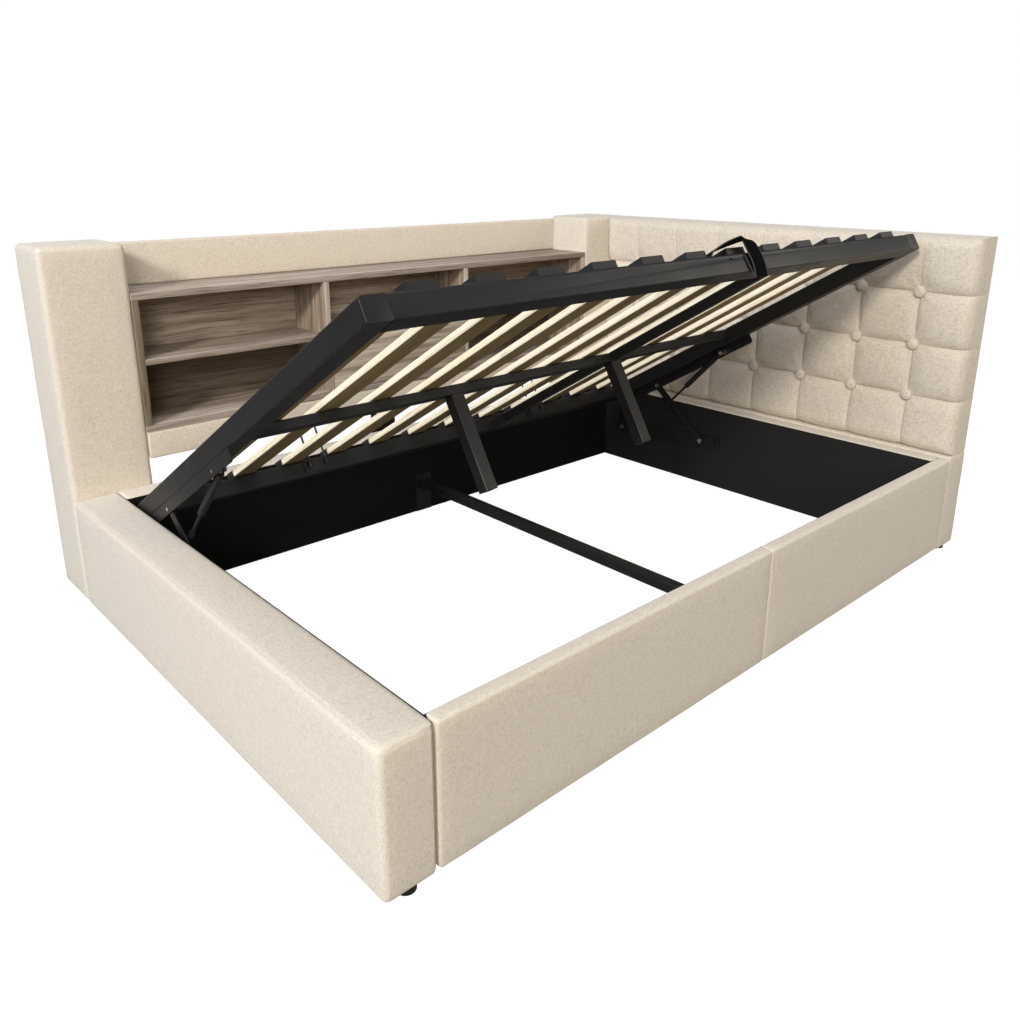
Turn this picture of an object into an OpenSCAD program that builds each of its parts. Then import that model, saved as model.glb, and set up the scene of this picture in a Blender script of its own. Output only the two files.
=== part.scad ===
// Ottoman bed with a side lift platform, a tufted headboard and a bookcase along the back.
// Lengths are millimetres. X runs towards the headboard, Y towards the bookcase, Z up.
// Places are counted from the front left corner of the boards' underside, and seated()
// moves them to the middle of the floor outline. The platform is drawn raised.

/* [Mattress] */
// Length of the mattress between the foot board and the headboard
mattress_l = 1905; // [1880:5:2030]
// Width of the mattress between the front rail and the bookcase
mattress_w = 1372; // [1350:2:1530]
// Free space along the mattress on the bookcase side
mattress_play = 8; // [4:1:20]

/* [Base boards] */
// Thickness of the foot board on the left
foot_board_t = 111; // [90:1:140]
// Height of the foot board and of the rails
board_h = 290; // [275:1:320]
// Thickness of the front rail
front_rail_t = 35; // [25:1:45]
// Thickness of the rail in front of the bookcase
back_rail_t = 67; // [50:1:80]
// Thickness of the rail under the headboard's face
end_rail_t = 47; // [35:1:60]
// Thickness of the board under the headboard
right_board_t = 103; // [80:1:120]
// Height of the board under the headboard
right_board_h = 296; // [280:1:320]
// Space between the rails and the underside of the boards
rail_lift = 4; // [2:1:10]
// Thickness of the black lining boards
lining_t = 3; // [2:0.5:6]
// Distance from the top of a rail down to its lining
lining_drop = 4; // [2:1:12]
// Rounding of the padded edges
edge_r = 12; // [4:1:20]
// Rounding of the edges on the thin rails
rail_r = 6; // [2:1:10]
// Height of the glides under the boards
foot_h = 10; // [6:1:25]
// Diameter of a glide
foot_d = 36; // [25:1:40]
// Distance from a board's end to the middle of its glide
foot_inset = 22; // [20:1:60]

/* [Headboard and posts] */
// Height of the headboard and the posts over the boards' underside
tall_h = 931; // [880:1:1050]
// Thickness of the headboard
head_t = 114; // [104:1:130]
// Depth of the tufted grooves
tuft_depth = 20; // [10:1:28]
// Radius of the roll round the edge of the headboard
head_roll = 34; // [20:1:45]
// Number of button columns
button_columns = 7; // [3:1:9]
// Number of button rows
button_rows = 3; // [2:1:4]
// Distance between button columns
button_pitch_y = 177.3; // [120:0.1:180]
// Distance between button rows
button_pitch_z = 154.5; // [110:0.5:160]
// Diameter of a covered button
button_d = 34; // [25:1:42]
// Height of the dome of a button
button_h = 16; // [6:1:18]
// Width of the flat ring round a button
seat_margin = 16; // [8:1:20]
// Distance over which the face swells up beside that ring
seat_rise = 22; // [14:1:30]
// Width of the left post
left_post_w = 207; // [180:1:230]
// Width of the right post
right_post_w = 225; // [180:1:240]
// Depth of the posts
post_d = 187.5; // [170:0.5:240]

/* [Bookcase] */
// Height of the bookcase's underside
case_z = 433; // [400:1:460]
// Height of the bookcase
case_h = 371; // [340:1:420]
// Thickness of the boards
case_t = 17.5; // [15:0.5:22]
// Thickness of the shelves
shelf_t = 15; // [12:0.5:18]
// Height of the shelves' top over the bookcase's underside
shelf_z = 196; // [160:1:220]
// Thickness of the back board
case_back_t = 6; // [3:0.5:8]
// Width of the middle bay
middle_bay_w = 523; // [400:1:640]
// Middle of the middle bay, counted from the middle of the bed
middle_bay_x = -15; // [-60:1:60]
// Thickness of the padded panels above and below the bookcase
panel_t = 18; // [14:0.5:24]
// Height of the padded panel below the bookcase
lower_panel_h = 75; // [50:1:100]
// Distance from the posts' top down to the top panel
top_panel_drop = 10; // [4:1:40]
// Width of the bookcase's middle leg
case_leg_w = 75; // [50:1:90]
// Depth of the bookcase's middle leg
case_leg_d = 36; // [20:1:60]
// Middle of that leg, counted from the middle of the bed
case_leg_x = -7; // [-40:1:40]
// Distance from the back of the bed to that leg
case_leg_back = 24; // [0:1:60]

/* [Drawer] */
// Seam round the drawer front
drawer_seam = 2; // [1:0.5:4]
// Thickness of the drawer's walls
drawer_wall = 10; // [8:1:14]
// Depth of the drawer's box
drawer_depth = 150; // [120:1:155]
// Height of the drawer's walls
drawer_wall_h = 110; // [60:1:140]
// Thickness of the drawer's front
drawer_front_t = 16; // [12:0.5:18]
// Thickness of the drawer's floor
drawer_floor_t = 6; // [3:0.5:10]

/* [Platform] */
// Angle that the platform is raised by
lift_angle = 31; // [15:1:34]
// Width of the frame's tubes
tube_w = 50; // [40:1:60]
// Height of the frame's tubes
tube_h = 47.5; // [40:0.5:50]
// Wall of the tubes
tube_wall = 2; // [1.5:0.5:3]
// Outer rounding of the tubes
tube_r = 5; // [2.5:0.5:6]
// Distance from a lining to the frame beside it
frame_gap = 4; // [3.5:0.5:5]
// Distance from the front rail to the closed frame
front_gap = 11.5; // [10:0.5:14]
// Distance from the closed frame to the back rail's lining
back_gap = 8.5; // [7:0.5:12]
// Distance from the rails' top down to the closed frame's top
frame_drop = 15; // [10:1:24]
// Side of the cross bar and the middle bar
bar_w = 27; // [20:1:30]
// Depth of the bars under the frame's top
bar_drop = 2; // [1:0.5:8]
// Distance from the frame's front edge to the middle of the cross bar
cross_bar_s = 675; // [600:1:740]
// Side of the two folding-down legs
leg_w = 38; // [25:1:45]
// Distance between the middles of those legs
leg_pitch = 598; // [520:2:640]
// Height of the leg caps
leg_cap_h = 6; // [3:0.5:12]
// Space under the leg caps when the platform is closed
leg_play = 1; // [0.5:0.5:4]
// Diameter of the hole in the front tube
tube_hole_d = 6; // [3:0.5:8]
// Place of that hole, counted from the middle of the frame
tube_hole_x = 25; // [-60:0.5:60]
// Depth of that hole's middle under the frame's top
tube_hole_drop = 11.5; // [8:0.5:28]
// Thickness of the caps on the side tubes
cap_t = 3; // [1.5:0.5:6]
// Length of the stubs that hold the caps in their tubes
plug_l = 14; // [8:1:30]

/* [Slats] */
// Number of slats
slat_count = 12; // [8:2:14]
// Distance between slats
slat_pitch = 145; // [100:1:150]
// Width of a slat
slat_w = 62; // [50:1:66]
// Thickness of a slat
slat_t = 15.5; // [12:0.5:20]
// Rounding of a slat's edges
slat_r = 2; // [1:0.5:4]
// Distance from the frame's edge to a slat holder
holder_s = 11; // [4:1:18]
// Length of a slat holder
holder_l = 38; // [35:1:60]
// Wall of a slat holder
holder_wall = 3; // [2:0.5:5]
// Floor and roof of a slat holder
holder_skin = 1.2; // [1:0.1:3]
// Clearance of a slat in its holder
holder_play = 0.2; // [0.1:0.05:0.5]

/* [Strap and mattress stops] */
// Width of the lifting strap
strap_w = 47; // [30:1:60]
// Thickness of the strap's webbing
strap_t = 2.4; // [1.5:0.1:3]
// Diameter of a mattress stop's rod
stop_rod_d = 6; // [4:0.5:10]
// Width of a mattress stop between the middles of its legs
stop_w = 51; // [35:1:56]
// Height of a mattress stop over the frame
stop_h = 110; // [60:1:160]
// Bend radius of a mattress stop
stop_bend_r = 14; // [9:1:18]
// Width of a stop's bracket
stop_bracket_w = 90; // [78:1:110]
// Height of a stop's bracket
stop_bracket_h = 30; // [18:1:36]
// Thickness of a stop's bracket
stop_bracket_t = 3; // [2:0.5:5]
// Length of a stop's legs under the frame's top
stop_grip = 27; // [22:1:34]
// Length of the sleeves that hold a stop's legs
sleeve_l = 18; // [10:1:20]

/* [Lift mechanism] */
// Distance from the back rail's lining to the rear fixed pivot
rear_pivot_back = 96; // [90:1:110]
// Height of the rear fixed pivot
rear_pivot_z = 138; // [130:1:150]
// Distance from the back rail's lining to the front fixed pivot
front_pivot_back = 466; // [440:1:480]
// Height of the front fixed pivot
front_pivot_z = 165; // [155:1:175]
// Distance from the frame's rear end to the rear arm's pivot
rear_hang_back = 14; // [13.5:0.5:24]
// Distance from the frame's rear end to the front arm's pivot
front_hang_back = 195; // [180:1:210]
// Depth of the hanging pivots under the frame's tubes
hang_drop = 17; // [16:0.5:20]
// Distance along the front arm from its fixed pivot to the strut's stud
strut_stud_l = 181; // [160:1:200]
// Distance from the frame's rear end to the strut's upper stud
strut_hang_back = 523; // [500:1:560]
// Length of the hanger bar
hanger_l = 639; // [600:1:760]
// Width of the arms and the hanger bars
arm_w = 24; // [20:0.5:25]
// Rounding of the hanger bars' ends
hanger_r = 9; // [4:0.5:10]
// Thickness of the plates and arms
plate_t = 4; // [3:0.5:4]
// Height of the base plates
base_plate_h = 42; // [30:1:50]
// Rounding of the base plates' corners
base_plate_r = 12; // [4:1:14]
// Length of a base plate in front of the front pivot
base_plate_nose = 77; // [50:1:100]
// Length of a base plate behind the rear pivot
base_plate_tail = 33; // [20:1:40]
// Diameter of the pivot pins
pin_d = 10; // [8:0.5:12]
// Diameter of the pin heads
pin_head_d = 16; // [14:0.5:20]
// Height of the pin heads
pin_head_h = 4; // [3:0.5:5]
// Running clearance of a pin in its hole, on the radius
pin_play = 0.05; // [0.02:0.01:0.1]
// Space between pieces that pass each other
side_play = 0.5; // [0.3:0.1:1]
// Depth of the spacer between a base plate and an arm
spacer_l = 6; // [5:0.5:8]

/* [Gas struts] */
// Diameter of a strut's cylinder
cylinder_d = 18; // [14:0.5:22]
// Length of a strut's cylinder
cylinder_l = 180; // [150:1:185]
// Thickness of a cylinder's closed end
cylinder_end_t = 6; // [3:0.5:10]
// Wall of a strut's cylinder
cylinder_wall = 1.5; // [1:0.5:2.5]
// Diameter of a strut's rod
rod_d = 8; // [6:0.5:10]
// Length of a strut's end fittings
strut_end_l = 18; // [14:1:20]
// Diameter of the eyes at a strut's ends
strut_eye_d = 15; // [12:0.5:18]
// Thickness of the eyes
strut_eye_t = 8; // [6:0.5:10]
// Width of the blocks behind the eyes
strut_block_w = 11; // [9.5:0.5:12]
// Diameter of the studs through the eyes
stud_d = 8; // [6:0.5:9]
// Distance from the lining to the middle of a strut
strut_off = 29; // [28:0.5:36]
// Length of the piston on the rod
piston_l = 10; // [6:1:16]
// Length of the guide in the cylinder's mouth
guide_l = 12; // [8:1:20]
// Height of the caps on the upper studs
stud_cap_t = 3; // [2:0.5:4]

/* [Centre beam] */
// Side of the centre beam
beam_w = 30; // [25:1:40]
// Height of the beam's underside
beam_z = 85; // [60:1:110]
// Width of the beam brackets
beam_bracket_w = 62; // [50:1:80]
// Height of the beam brackets
beam_bracket_h = 129; // [125:1:160]
// Depth of the pocket that holds the beam
beam_pocket = 34; // [20:1:50]
// Thickness of the brackets' sheet steel
bracket_t = 3; // [2:0.5:4]

/* [Bolts] */
// Width over the flats of a base bolt
bolt_af = 13; // [10:0.5:17]
// Height of a bolt's head
bolt_head_h = 5; // [4:0.5:8]
// Diameter of a bolt's shank
bolt_d = 7.8; // [6:0.1:9]
// Number of bolts in a base plate
bolt_count = 3; // [2:1:4]

/* [Hidden] */
$fn = 48;

// Colours
linen = [0.78, 0.73, 0.65];
lining_black = [0.10, 0.10, 0.10];
steel_black = [0.13, 0.13, 0.14];
plastic_black = [0.17, 0.17, 0.17];
oak = [0.52, 0.46, 0.41];
pine = [0.88, 0.79, 0.62];
zinc = [0.70, 0.71, 0.72];
webbing = [0.08, 0.08, 0.09];

// Small clearances: between soft pieces that meet, and the overshoot of a cut
soft_gap = 0.3;
cut = 1;

// Outline of the bed
bed_l = foot_board_t + mattress_l + head_t;
case_y = mattress_w + mattress_play;
bed_w = case_y + post_d;
rail_h = board_h - rail_lift;

// The storage space between the linings
in_left = foot_board_t;
in_right = bed_l - right_board_t - end_rail_t;
in_front = front_rail_t;
in_back = case_y - back_rail_t;
rail_x1 = bed_l - right_board_t;
rail_mid_x = (foot_board_t + rail_x1) / 2;

// The bookcase between the posts
case_x0 = left_post_w;
case_x1 = bed_l - right_post_w;
case_d = post_d - case_back_t;
case_top_z = case_z + case_h;
bay_z = case_z + case_t;
bay_x0 = bed_l / 2 + middle_bay_x - middle_bay_w / 2;
bay_x1 = bay_x0 + middle_bay_w;
shelf_top_z = case_z + shelf_z;
shelf_bottom_z = shelf_top_z - shelf_t;

// The platform, in its own plane: x as on the bed, s down the slope, z square to it
frame_x0 = in_left + frame_gap;
frame_x1 = in_right - frame_gap;
frame_mid_x = (frame_x0 + frame_x1) / 2;
frame_s = in_back - back_gap - in_front - front_gap;
closed_front = in_front + front_gap;
closed_top = board_h - frame_drop;
pivot_drop = tube_h + hang_drop;
leg_x = [frame_mid_x - leg_pitch / 2, frame_mid_x + leg_pitch / 2];
leg_s0 = cross_bar_s - leg_w / 2;
leg_bottom = -closed_top - foot_h + leg_play;
holder_w = slat_w + 2 * (holder_wall + holder_play);
holder_h = slat_t + 2 * (holder_skin + holder_play);
slat_z = holder_skin + holder_play;
slat_x = [for (k = [0 : slat_count - 1]) frame_mid_x + (k - (slat_count - 1) / 2) * slat_pitch];
stop_slats = 3;
stop_x = [frame_mid_x - stop_slats * slat_pitch, frame_mid_x + stop_slats * slat_pitch];
stop_s = frame_s - tube_w - stop_bracket_t - stop_rod_d / 2;

// Layers of the mechanism, counted inwards from the lining
arm_off = plate_t + spacer_l;
head_off = arm_off + plate_t + soft_gap;
hanger_off = frame_gap + side_play;

// Vectors [y, z] in the plane of the mechanism
function turned(v, a) = [v[0] * cos(a) - v[1] * sin(a), v[0] * sin(a) + v[1] * cos(a)];
function bearing(a, b) = atan2(b[1] - a[1], b[0] - a[0]);

// Crossing of the circle of radius ra about a with that of radius rb about b,
// on the right hand when looking from a to b
function meet(a, ra, b, rb) =
    let (d = norm(b - a), along = (ra * ra - rb * rb + d * d) / (2 * d), u = (b - a) / d)
    a + along * u + sqrt(ra * ra - along * along) * [u[1], -u[0]];

// Fixed pivots, hanging pivots with the platform closed, and the lengths of the arms
rear_pivot = [in_back - rear_pivot_back, rear_pivot_z];
front_pivot = [in_back - front_pivot_back, front_pivot_z];
rear_hang = [frame_s - rear_hang_back, -pivot_drop];
front_hang = [frame_s - front_hang_back, -pivot_drop];
strut_hang = [frame_s - strut_hang_back, -pivot_drop];
closed_corner = [closed_front, closed_top];
rear_arm_l = norm(closed_corner + rear_hang - rear_pivot);
front_arm_l = norm(closed_corner + front_hang - front_pivot);

// The raised pose: both arms reach the turned hanger bar
hang_span = turned(front_hang - rear_hang, -lift_angle);
rear_top = meet(rear_pivot, rear_arm_l, front_pivot - hang_span, front_arm_l);
front_top = rear_top + hang_span;
raised_corner = rear_top - turned(rear_hang, -lift_angle);
rear_arm_angle = bearing(rear_pivot, rear_top);
front_arm_angle = bearing(front_pivot, front_top);
strut_low = front_pivot + turned([strut_stud_l, 0], front_arm_angle);
strut_high = raised_corner + turned(strut_hang, -lift_angle);
strut_l = norm(strut_low - strut_high);
strut_angle = bearing(strut_high, strut_low);
base_slope = bearing(front_pivot, rear_pivot);
base_span = norm(rear_pivot - front_pivot);

// Travel from raised to closed, for the joints
closed_front_angle = bearing(front_pivot, closed_corner + front_hang);
closed_rear_angle = bearing(rear_pivot, closed_corner + rear_hang);
closed_stud = front_pivot + turned([strut_stud_l, 0], closed_front_angle);
closed_strut = closed_corner + strut_hang - closed_stud;
strut_travel = strut_l - norm(closed_strut);
echo(front_arm_travel = closed_front_angle - front_arm_angle,
    rear_arm_travel = closed_rear_angle - rear_arm_angle,
    strut_travel = strut_travel,
    strut_turn = bearing(closed_corner + strut_hang, closed_stud) - strut_angle - lift_angle);
echo(front_pivot = front_pivot, front_top = front_top, rear_pivot = rear_pivot,
    strut_high = strut_high, strut_angle = strut_angle, raised_corner = raised_corner,
    rear_top = rear_top, strut_low = strut_low, strut_l = strut_l);

// Moves the bed's corner to the middle of its floor outline
module seated() translate([-bed_l / 2, -bed_w / 2, foot_h]) children();

// Puts what is drawn for the closed platform on the raised one
module on_platform()
    translate([0, raised_corner[0], raised_corner[1]])
    rotate([-lift_angle, 0, 0])
    children();

// A rectangle with round corners
module round_rect(w, h, r) {
    translate([r, 0]) square([w - 2 * r, h]);
    translate([0, r]) square([w, h - 2 * r]);
    for (x = [r, w - r], y = [r, h - r]) translate([x, y]) circle(r);
}

// A padded board whose edges are all rounded
module padded_board(w, d, h, r) {
    intersection() {
        linear_extrude(h) round_rect(w, d, r);
        translate([0, d, 0]) rotate([90, 0, 0]) linear_extrude(d) round_rect(w, h, r);
        rotate([90, 0, 90]) linear_extrude(w) round_rect(d, h, r);
    }
}

// A square tube along X, with rounded corners
module tube_x(l, w, h) {
    rotate([90, 0, 90]) linear_extrude(l) difference() {
        round_rect(w, h, tube_r);
        translate([tube_wall, tube_wall])
            round_rect(w - 2 * tube_wall, h - 2 * tube_wall, tube_r - tube_wall);
    }
}

// A square tube along Y
module tube_y(l, w, h) translate([w, 0, 0]) rotate([0, 0, 90]) tube_x(l, w, h);

// A plate whose outline is drawn in Y and Z, from x to x + t
module side_plate(x, t) translate([x, 0, 0]) rotate([90, 0, 90]) linear_extrude(t) children();

// The low x of a layer of thickness t that lies off inside the lining of one side
function layer_x(side, off, t) = side < 0 ? in_left + off : in_right - off - t;

// A layer of the mechanism on the left side (-1) or the right side (1)
module layer(side, off, t) side_plate(layer_x(side, off, t), t) children();

// A round piece along X that takes up a layer
module disc(side, off, t, d, p) layer(side, off, t) translate(p) circle(d = d);

module left_board() color(linen) seated() difference() {
    padded_board(foot_board_t, case_y - soft_gap, board_h, edge_r);
    translate([foot_board_t - lining_t, in_front, rail_lift])
        cube([lining_t + cut, in_back - in_front, rail_h - lining_drop]);
}

// One half of the front rail, with the rebate for the lining
module front_rail(x0, x1) color(linen) seated() difference() {
    translate([x0, 0, rail_lift]) padded_board(x1 - x0, front_rail_t, rail_h, rail_r);
    translate([x0 - cut, in_front - lining_t, rail_lift - cut])
        cube([x1 - x0 + 2 * cut, lining_t + cut, rail_h - lining_drop + cut]);
}

module right_board() color(linen) seated()
    translate([rail_x1, 0, 0])
    padded_board(right_board_t, case_y - soft_gap, right_board_h, edge_r);

module end_rail() color(linen) seated() difference() {
    translate([in_right, in_front, rail_lift])
        padded_board(end_rail_t, in_back - in_front, rail_h, rail_r);
    translate([in_right - cut, in_front - cut, rail_lift - cut])
        cube([lining_t + cut, in_back - in_front + 2 * cut, rail_h - lining_drop + cut]);
}

module back_rail() color(linen) seated() difference() {
    translate([in_left, in_back, rail_lift])
        padded_board(rail_x1 - in_left, back_rail_t - soft_gap, rail_h, rail_r);
    translate([in_left - cut, in_back - cut, rail_lift - cut])
        cube([in_right - in_left + cut, lining_t + cut, rail_h - lining_drop + cut]);
}

// A lining board in the rebate of the board behind it
module lining(x, y, w, d) color(lining_black) seated()
    translate([x, y, rail_lift]) cube([w, d, rail_h - lining_drop]);

module lining_left()
    lining(in_left - lining_t, in_front, lining_t, in_back - in_front);
module lining_front()
    lining(in_left, in_front - lining_t, in_right - in_left, lining_t);
module lining_right()
    lining(in_right, in_front, lining_t, in_back - in_front);
module lining_back()
    lining(in_left, in_back, in_right - in_left, lining_t);

module left_post() color(linen) seated()
    translate([0, case_y, 0]) padded_board(left_post_w, post_d, tall_h, edge_r);

module right_post() color(linen) seated()
    translate([case_x1, case_y, 0]) padded_board(right_post_w, post_d, tall_h, edge_r);

module front_rail_left() front_rail(in_left, rail_mid_x);
module front_rail_right() front_rail(rail_mid_x, rail_x1);

// The tufted headboard: rows and columns of blocks between grooves
head_z0 = right_board_h + soft_gap;
head_w = case_y - soft_gap;
head_h = tall_h - head_z0;
button_y = [for (k = [0 : button_columns - 1])
    head_w / 2 + (k - (button_columns - 1) / 2) * button_pitch_y];
button_z = [for (k = [0 : button_rows - 1]) head_h / 2 + (k - (button_rows - 1) / 2) * button_pitch_z];

// Places of the net's lines: the same shares of every block, and one more line in the roll
net_shares = [0, 0.14, 0.37, 0.63, 0.86];
roll_share = 0.25;
swell_power = 4;
function net_lines(grooves, size) =
    let (stops = concat([0], grooves, [size]), edge = roll_share * head_roll)
    concat([0, edge],
        [for (k = [0 : len(stops) - 2], share = net_shares)
            if (k > 0 || share > 0) stops[k] + share * (stops[k + 1] - stops[k])],
        [size - edge, size]);

// Swell of the face across one direction, 0 in a groove and 1 half a pitch away
function swell(t, grooves, pitch) =
    let (near = min([for (g = grooves) abs(t - g)]))
    sqrt(1 - pow(max(0, 1 - 2 * near / pitch), swell_power));

// How far the roll at the edge draws the face back
function rolled(t, size) =
    let (e = max(0, head_roll - min(t, size - t)))
    head_roll - sqrt(head_roll * head_roll - e * e);

// Share of the swell that is left near a button, which sits on a flat
function beside_button(y, z) =
    let (near = min([for (b = button_y, c = button_z) norm([y - b, z - c])]))
    min(1, max(0, (near - button_d / 2 - seat_margin) / seat_rise));

function head_face(y, z) = head_t
    - max(rolled(y, head_w), rolled(z, head_h))
    - tuft_depth * (1 - beside_button(y, z) * swell(y, button_y, button_pitch_y)
        * swell(z, button_z, button_pitch_z));

module headboard() {
    ys = net_lines(button_y, head_w);
    zs = net_lines(button_z, head_h);
    ny = len(ys);
    nz = len(zs);
    // The rim goes once round the net, and the back is a fan inside the rim's outline
    rim = concat([for (i = [0 : ny - 1]) i],
        [for (j = [1 : nz - 1]) j * ny + ny - 1],
        [for (i = [ny - 2 : -1 : 0]) (nz - 1) * ny + i],
        [for (j = [nz - 2 : -1 : 1]) j * ny]);
    count = len(rim);
    net = [for (z = zs, y = ys) [-head_face(y, z), y, z]];
    middle = ny * nz + count;
    points = concat(net, [for (r = rim) [0, net[r][1], net[r][2]]], [[0, head_w / 2, head_h / 2]]);
    front = [for (j = [0 : nz - 2], i = [0 : ny - 2]) let (a = j * ny + i)
        each [[a, a + 1, a + ny + 1], [a, a + ny + 1, a + ny]]];
    sides = [for (k = [0 : count - 1]) let (m = (k + 1) % count)
        each [[rim[m], rim[k], ny * nz + k], [rim[m], ny * nz + k, ny * nz + m]]];
    back = [for (k = [0 : count - 1]) [middle, ny * nz + (k + 1) % count, ny * nz + k]];
    color(linen) seated() translate([bed_l, 0, head_z0])
        polyhedron(points, concat(front, sides, back));
}

// One dome for each crossing of the grooves
module headboard_buttons() {
    dome_r = (pow(button_d / 2, 2) + button_h * button_h) / (2 * button_h);
    color(linen) seated()
        for (y = button_y, z = button_z)
            translate([bed_l - head_t + tuft_depth - soft_gap, y, head_z0 + z])
            rotate([0, -90, 0]) intersection() {
                translate([0, 0, button_h - dome_r]) sphere(dome_r);
                cylinder(h = button_h, d = button_d);
            }
}

// The padded strip above the bookcase
module top_panel() color(linen) seated()
    translate([case_x0 + soft_gap, bed_w - panel_t, case_top_z + soft_gap])
    padded_board(case_x1 - case_x0 - 2 * soft_gap, panel_t,
        tall_h - top_panel_drop - case_top_z - soft_gap, rail_r);

// The padded strip below the bookcase
module lower_panel() color(linen) seated()
    translate([case_x0 + soft_gap, case_y, case_z - lower_panel_h])
    padded_board(case_x1 - case_x0 - 2 * soft_gap, panel_t, lower_panel_h - soft_gap, rail_r);

// A board of the bookcase
module case_board(x0, x1, z0, z1) translate([x0, case_y, z0]) cube([x1 - x0, case_d, z1 - z0]);

module case_top() color(oak) seated()
    case_board(case_x0, case_x1, case_top_z - case_t, case_top_z);

module case_bottom() color(oak) seated() case_board(case_x0, case_x1, case_z, bay_z);

module case_left_side() color(oak) seated()
    case_board(case_x0, case_x0 + case_t, bay_z, case_top_z - case_t);

module case_right_side() color(oak) seated()
    case_board(case_x1 - case_t, case_x1, bay_z, case_top_z - case_t);

module case_dividers() color(oak) seated()
    for (x = [bay_x0 - case_t, bay_x1])
        case_board(x, x + case_t, bay_z, case_top_z - case_t);

module case_shelves() color(oak) seated() {
    case_board(case_x0 + case_t, bay_x0 - case_t, shelf_bottom_z, shelf_top_z);
    case_board(bay_x0, bay_x1, shelf_bottom_z, shelf_top_z);
    case_board(bay_x1 + case_t, case_x1 - case_t, shelf_bottom_z, shelf_top_z);
}

module case_back() color(oak) seated()
    translate([case_x0, case_y + case_d, case_z])
    cube([case_x1 - case_x0, case_back_t, case_h]);

module case_leg() color(plastic_black) seated()
    translate([bed_l / 2 + case_leg_x - case_leg_w / 2, bed_w - case_leg_back - case_leg_d,
        -foot_h])
    cube([case_leg_w, case_leg_d, case_z + foot_h]);

// The drawer stands in the middle bay, its front flush with the boards
module drawer_front() color(oak) seated()
    translate([bay_x0 + drawer_seam, case_y, bay_z + drawer_seam])
    cube([middle_bay_w - 2 * drawer_seam, drawer_front_t,
        shelf_bottom_z - bay_z - 2 * drawer_seam]);

module drawer_box() color(oak) seated()
    translate([bay_x0 + drawer_seam, case_y + drawer_front_t, bay_z + soft_gap])
    difference() {
        cube([middle_bay_w - 2 * drawer_seam, drawer_depth, drawer_wall_h]);
        translate([drawer_wall, drawer_wall, drawer_floor_t])
            cube([middle_bay_w - 2 * drawer_seam - 2 * drawer_wall,
                drawer_depth - 2 * drawer_wall, drawer_wall_h]);
    }

// The beam under the middle of the platform, hung in a pocket at either end
module centre_beam() color(steel_black) seated()
    translate([bed_l / 2 - beam_w / 2, in_front + bracket_t + soft_gap, beam_z])
    tube_y(in_back - in_front - 2 * (bracket_t + soft_gap), beam_w, beam_w);

// A plate on the lining with cheeks and a floor round the beam's end
module beam_bracket() {
    cheek_x = beam_w / 2 + soft_gap;
    floor_z = beam_z - soft_gap - bracket_t;
    translate([-beam_bracket_w / 2, 0, rail_lift])
        cube([beam_bracket_w, bracket_t, beam_bracket_h]);
    for (x = [-cheek_x - bracket_t, cheek_x])
        translate([x, 0, floor_z])
            cube([bracket_t, beam_pocket, beam_w + soft_gap + bracket_t]);
    translate([-cheek_x - bracket_t, 0, floor_z])
        cube([2 * (cheek_x + bracket_t), beam_pocket, bracket_t]);
}

module beam_brackets() color(steel_black) seated() {
    translate([bed_l / 2, in_front, 0]) beam_bracket();
    translate([bed_l / 2, in_back, 0]) mirror([0, 1, 0]) beam_bracket();
}

// Glides under the corners of the boards and under the posts
module feet() {
    board_mid = [foot_board_t / 2, rail_x1 + right_board_t / 2];
    post_mid = [left_post_w / 2, case_x1 + right_post_w / 2];
    places = concat([for (x = board_mid, y = [foot_inset, case_y - foot_inset]) [x, y]],
        [for (x = post_mid) [x, bed_w - foot_inset]]);
    color(plastic_black) seated()
        for (p = places) translate([p[0], p[1], -foot_h]) cylinder(h = foot_h, d = foot_d);
}

module front_tube() color(steel_black) seated() on_platform() difference() {
    translate([frame_x0 + tube_w, 0, -tube_h])
        tube_x(frame_x1 - frame_x0 - 2 * tube_w, tube_w, tube_h);
    translate([frame_mid_x + tube_hole_x, -cut, -tube_hole_drop])
        rotate([-90, 0, 0]) cylinder(h = tube_wall + 2 * cut, d = tube_hole_d);
}

module rear_tube() color(steel_black) seated() on_platform()
    translate([frame_x0 + tube_w, frame_s - tube_w, -tube_h])
    tube_x(frame_x1 - frame_x0 - 2 * tube_w, tube_w, tube_h);

// The side tubes run the whole depth and end in caps
module side_tube(x) color(steel_black) seated() on_platform()
    translate([x, cap_t, -tube_h]) tube_y(frame_s - 2 * cap_t, tube_w, tube_h);

module left_tube() side_tube(frame_x0);
module right_tube() side_tube(frame_x1 - tube_w);

// A plug of plastic that closes a tube of w by h: a flat cap over a stub
module tube_plug(w, h, cap) {
    inset = tube_wall + soft_gap;
    linear_extrude(cap) round_rect(w, h, tube_r);
    translate([inset, inset, cap]) linear_extrude(plug_l)
        round_rect(w - 2 * inset, h - 2 * inset, max(soft_gap / 2, tube_r - inset));
}

module tube_caps() color(plastic_black) seated() on_platform()
    for (x = [frame_x0, frame_x1 - tube_w]) {
        translate([x, 0, 0]) rotate([-90, 0, 0]) tube_plug(tube_w, tube_h, cap_t);
        translate([x, frame_s, -tube_h]) rotate([90, 0, 0]) tube_plug(tube_w, tube_h, cap_t);
    }

module cross_bar() color(steel_black) seated() on_platform()
    translate([frame_x0 + tube_w, cross_bar_s - bar_w / 2, -bar_drop - bar_w])
    tube_x(frame_x1 - frame_x0 - 2 * tube_w, bar_w, bar_w);

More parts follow.
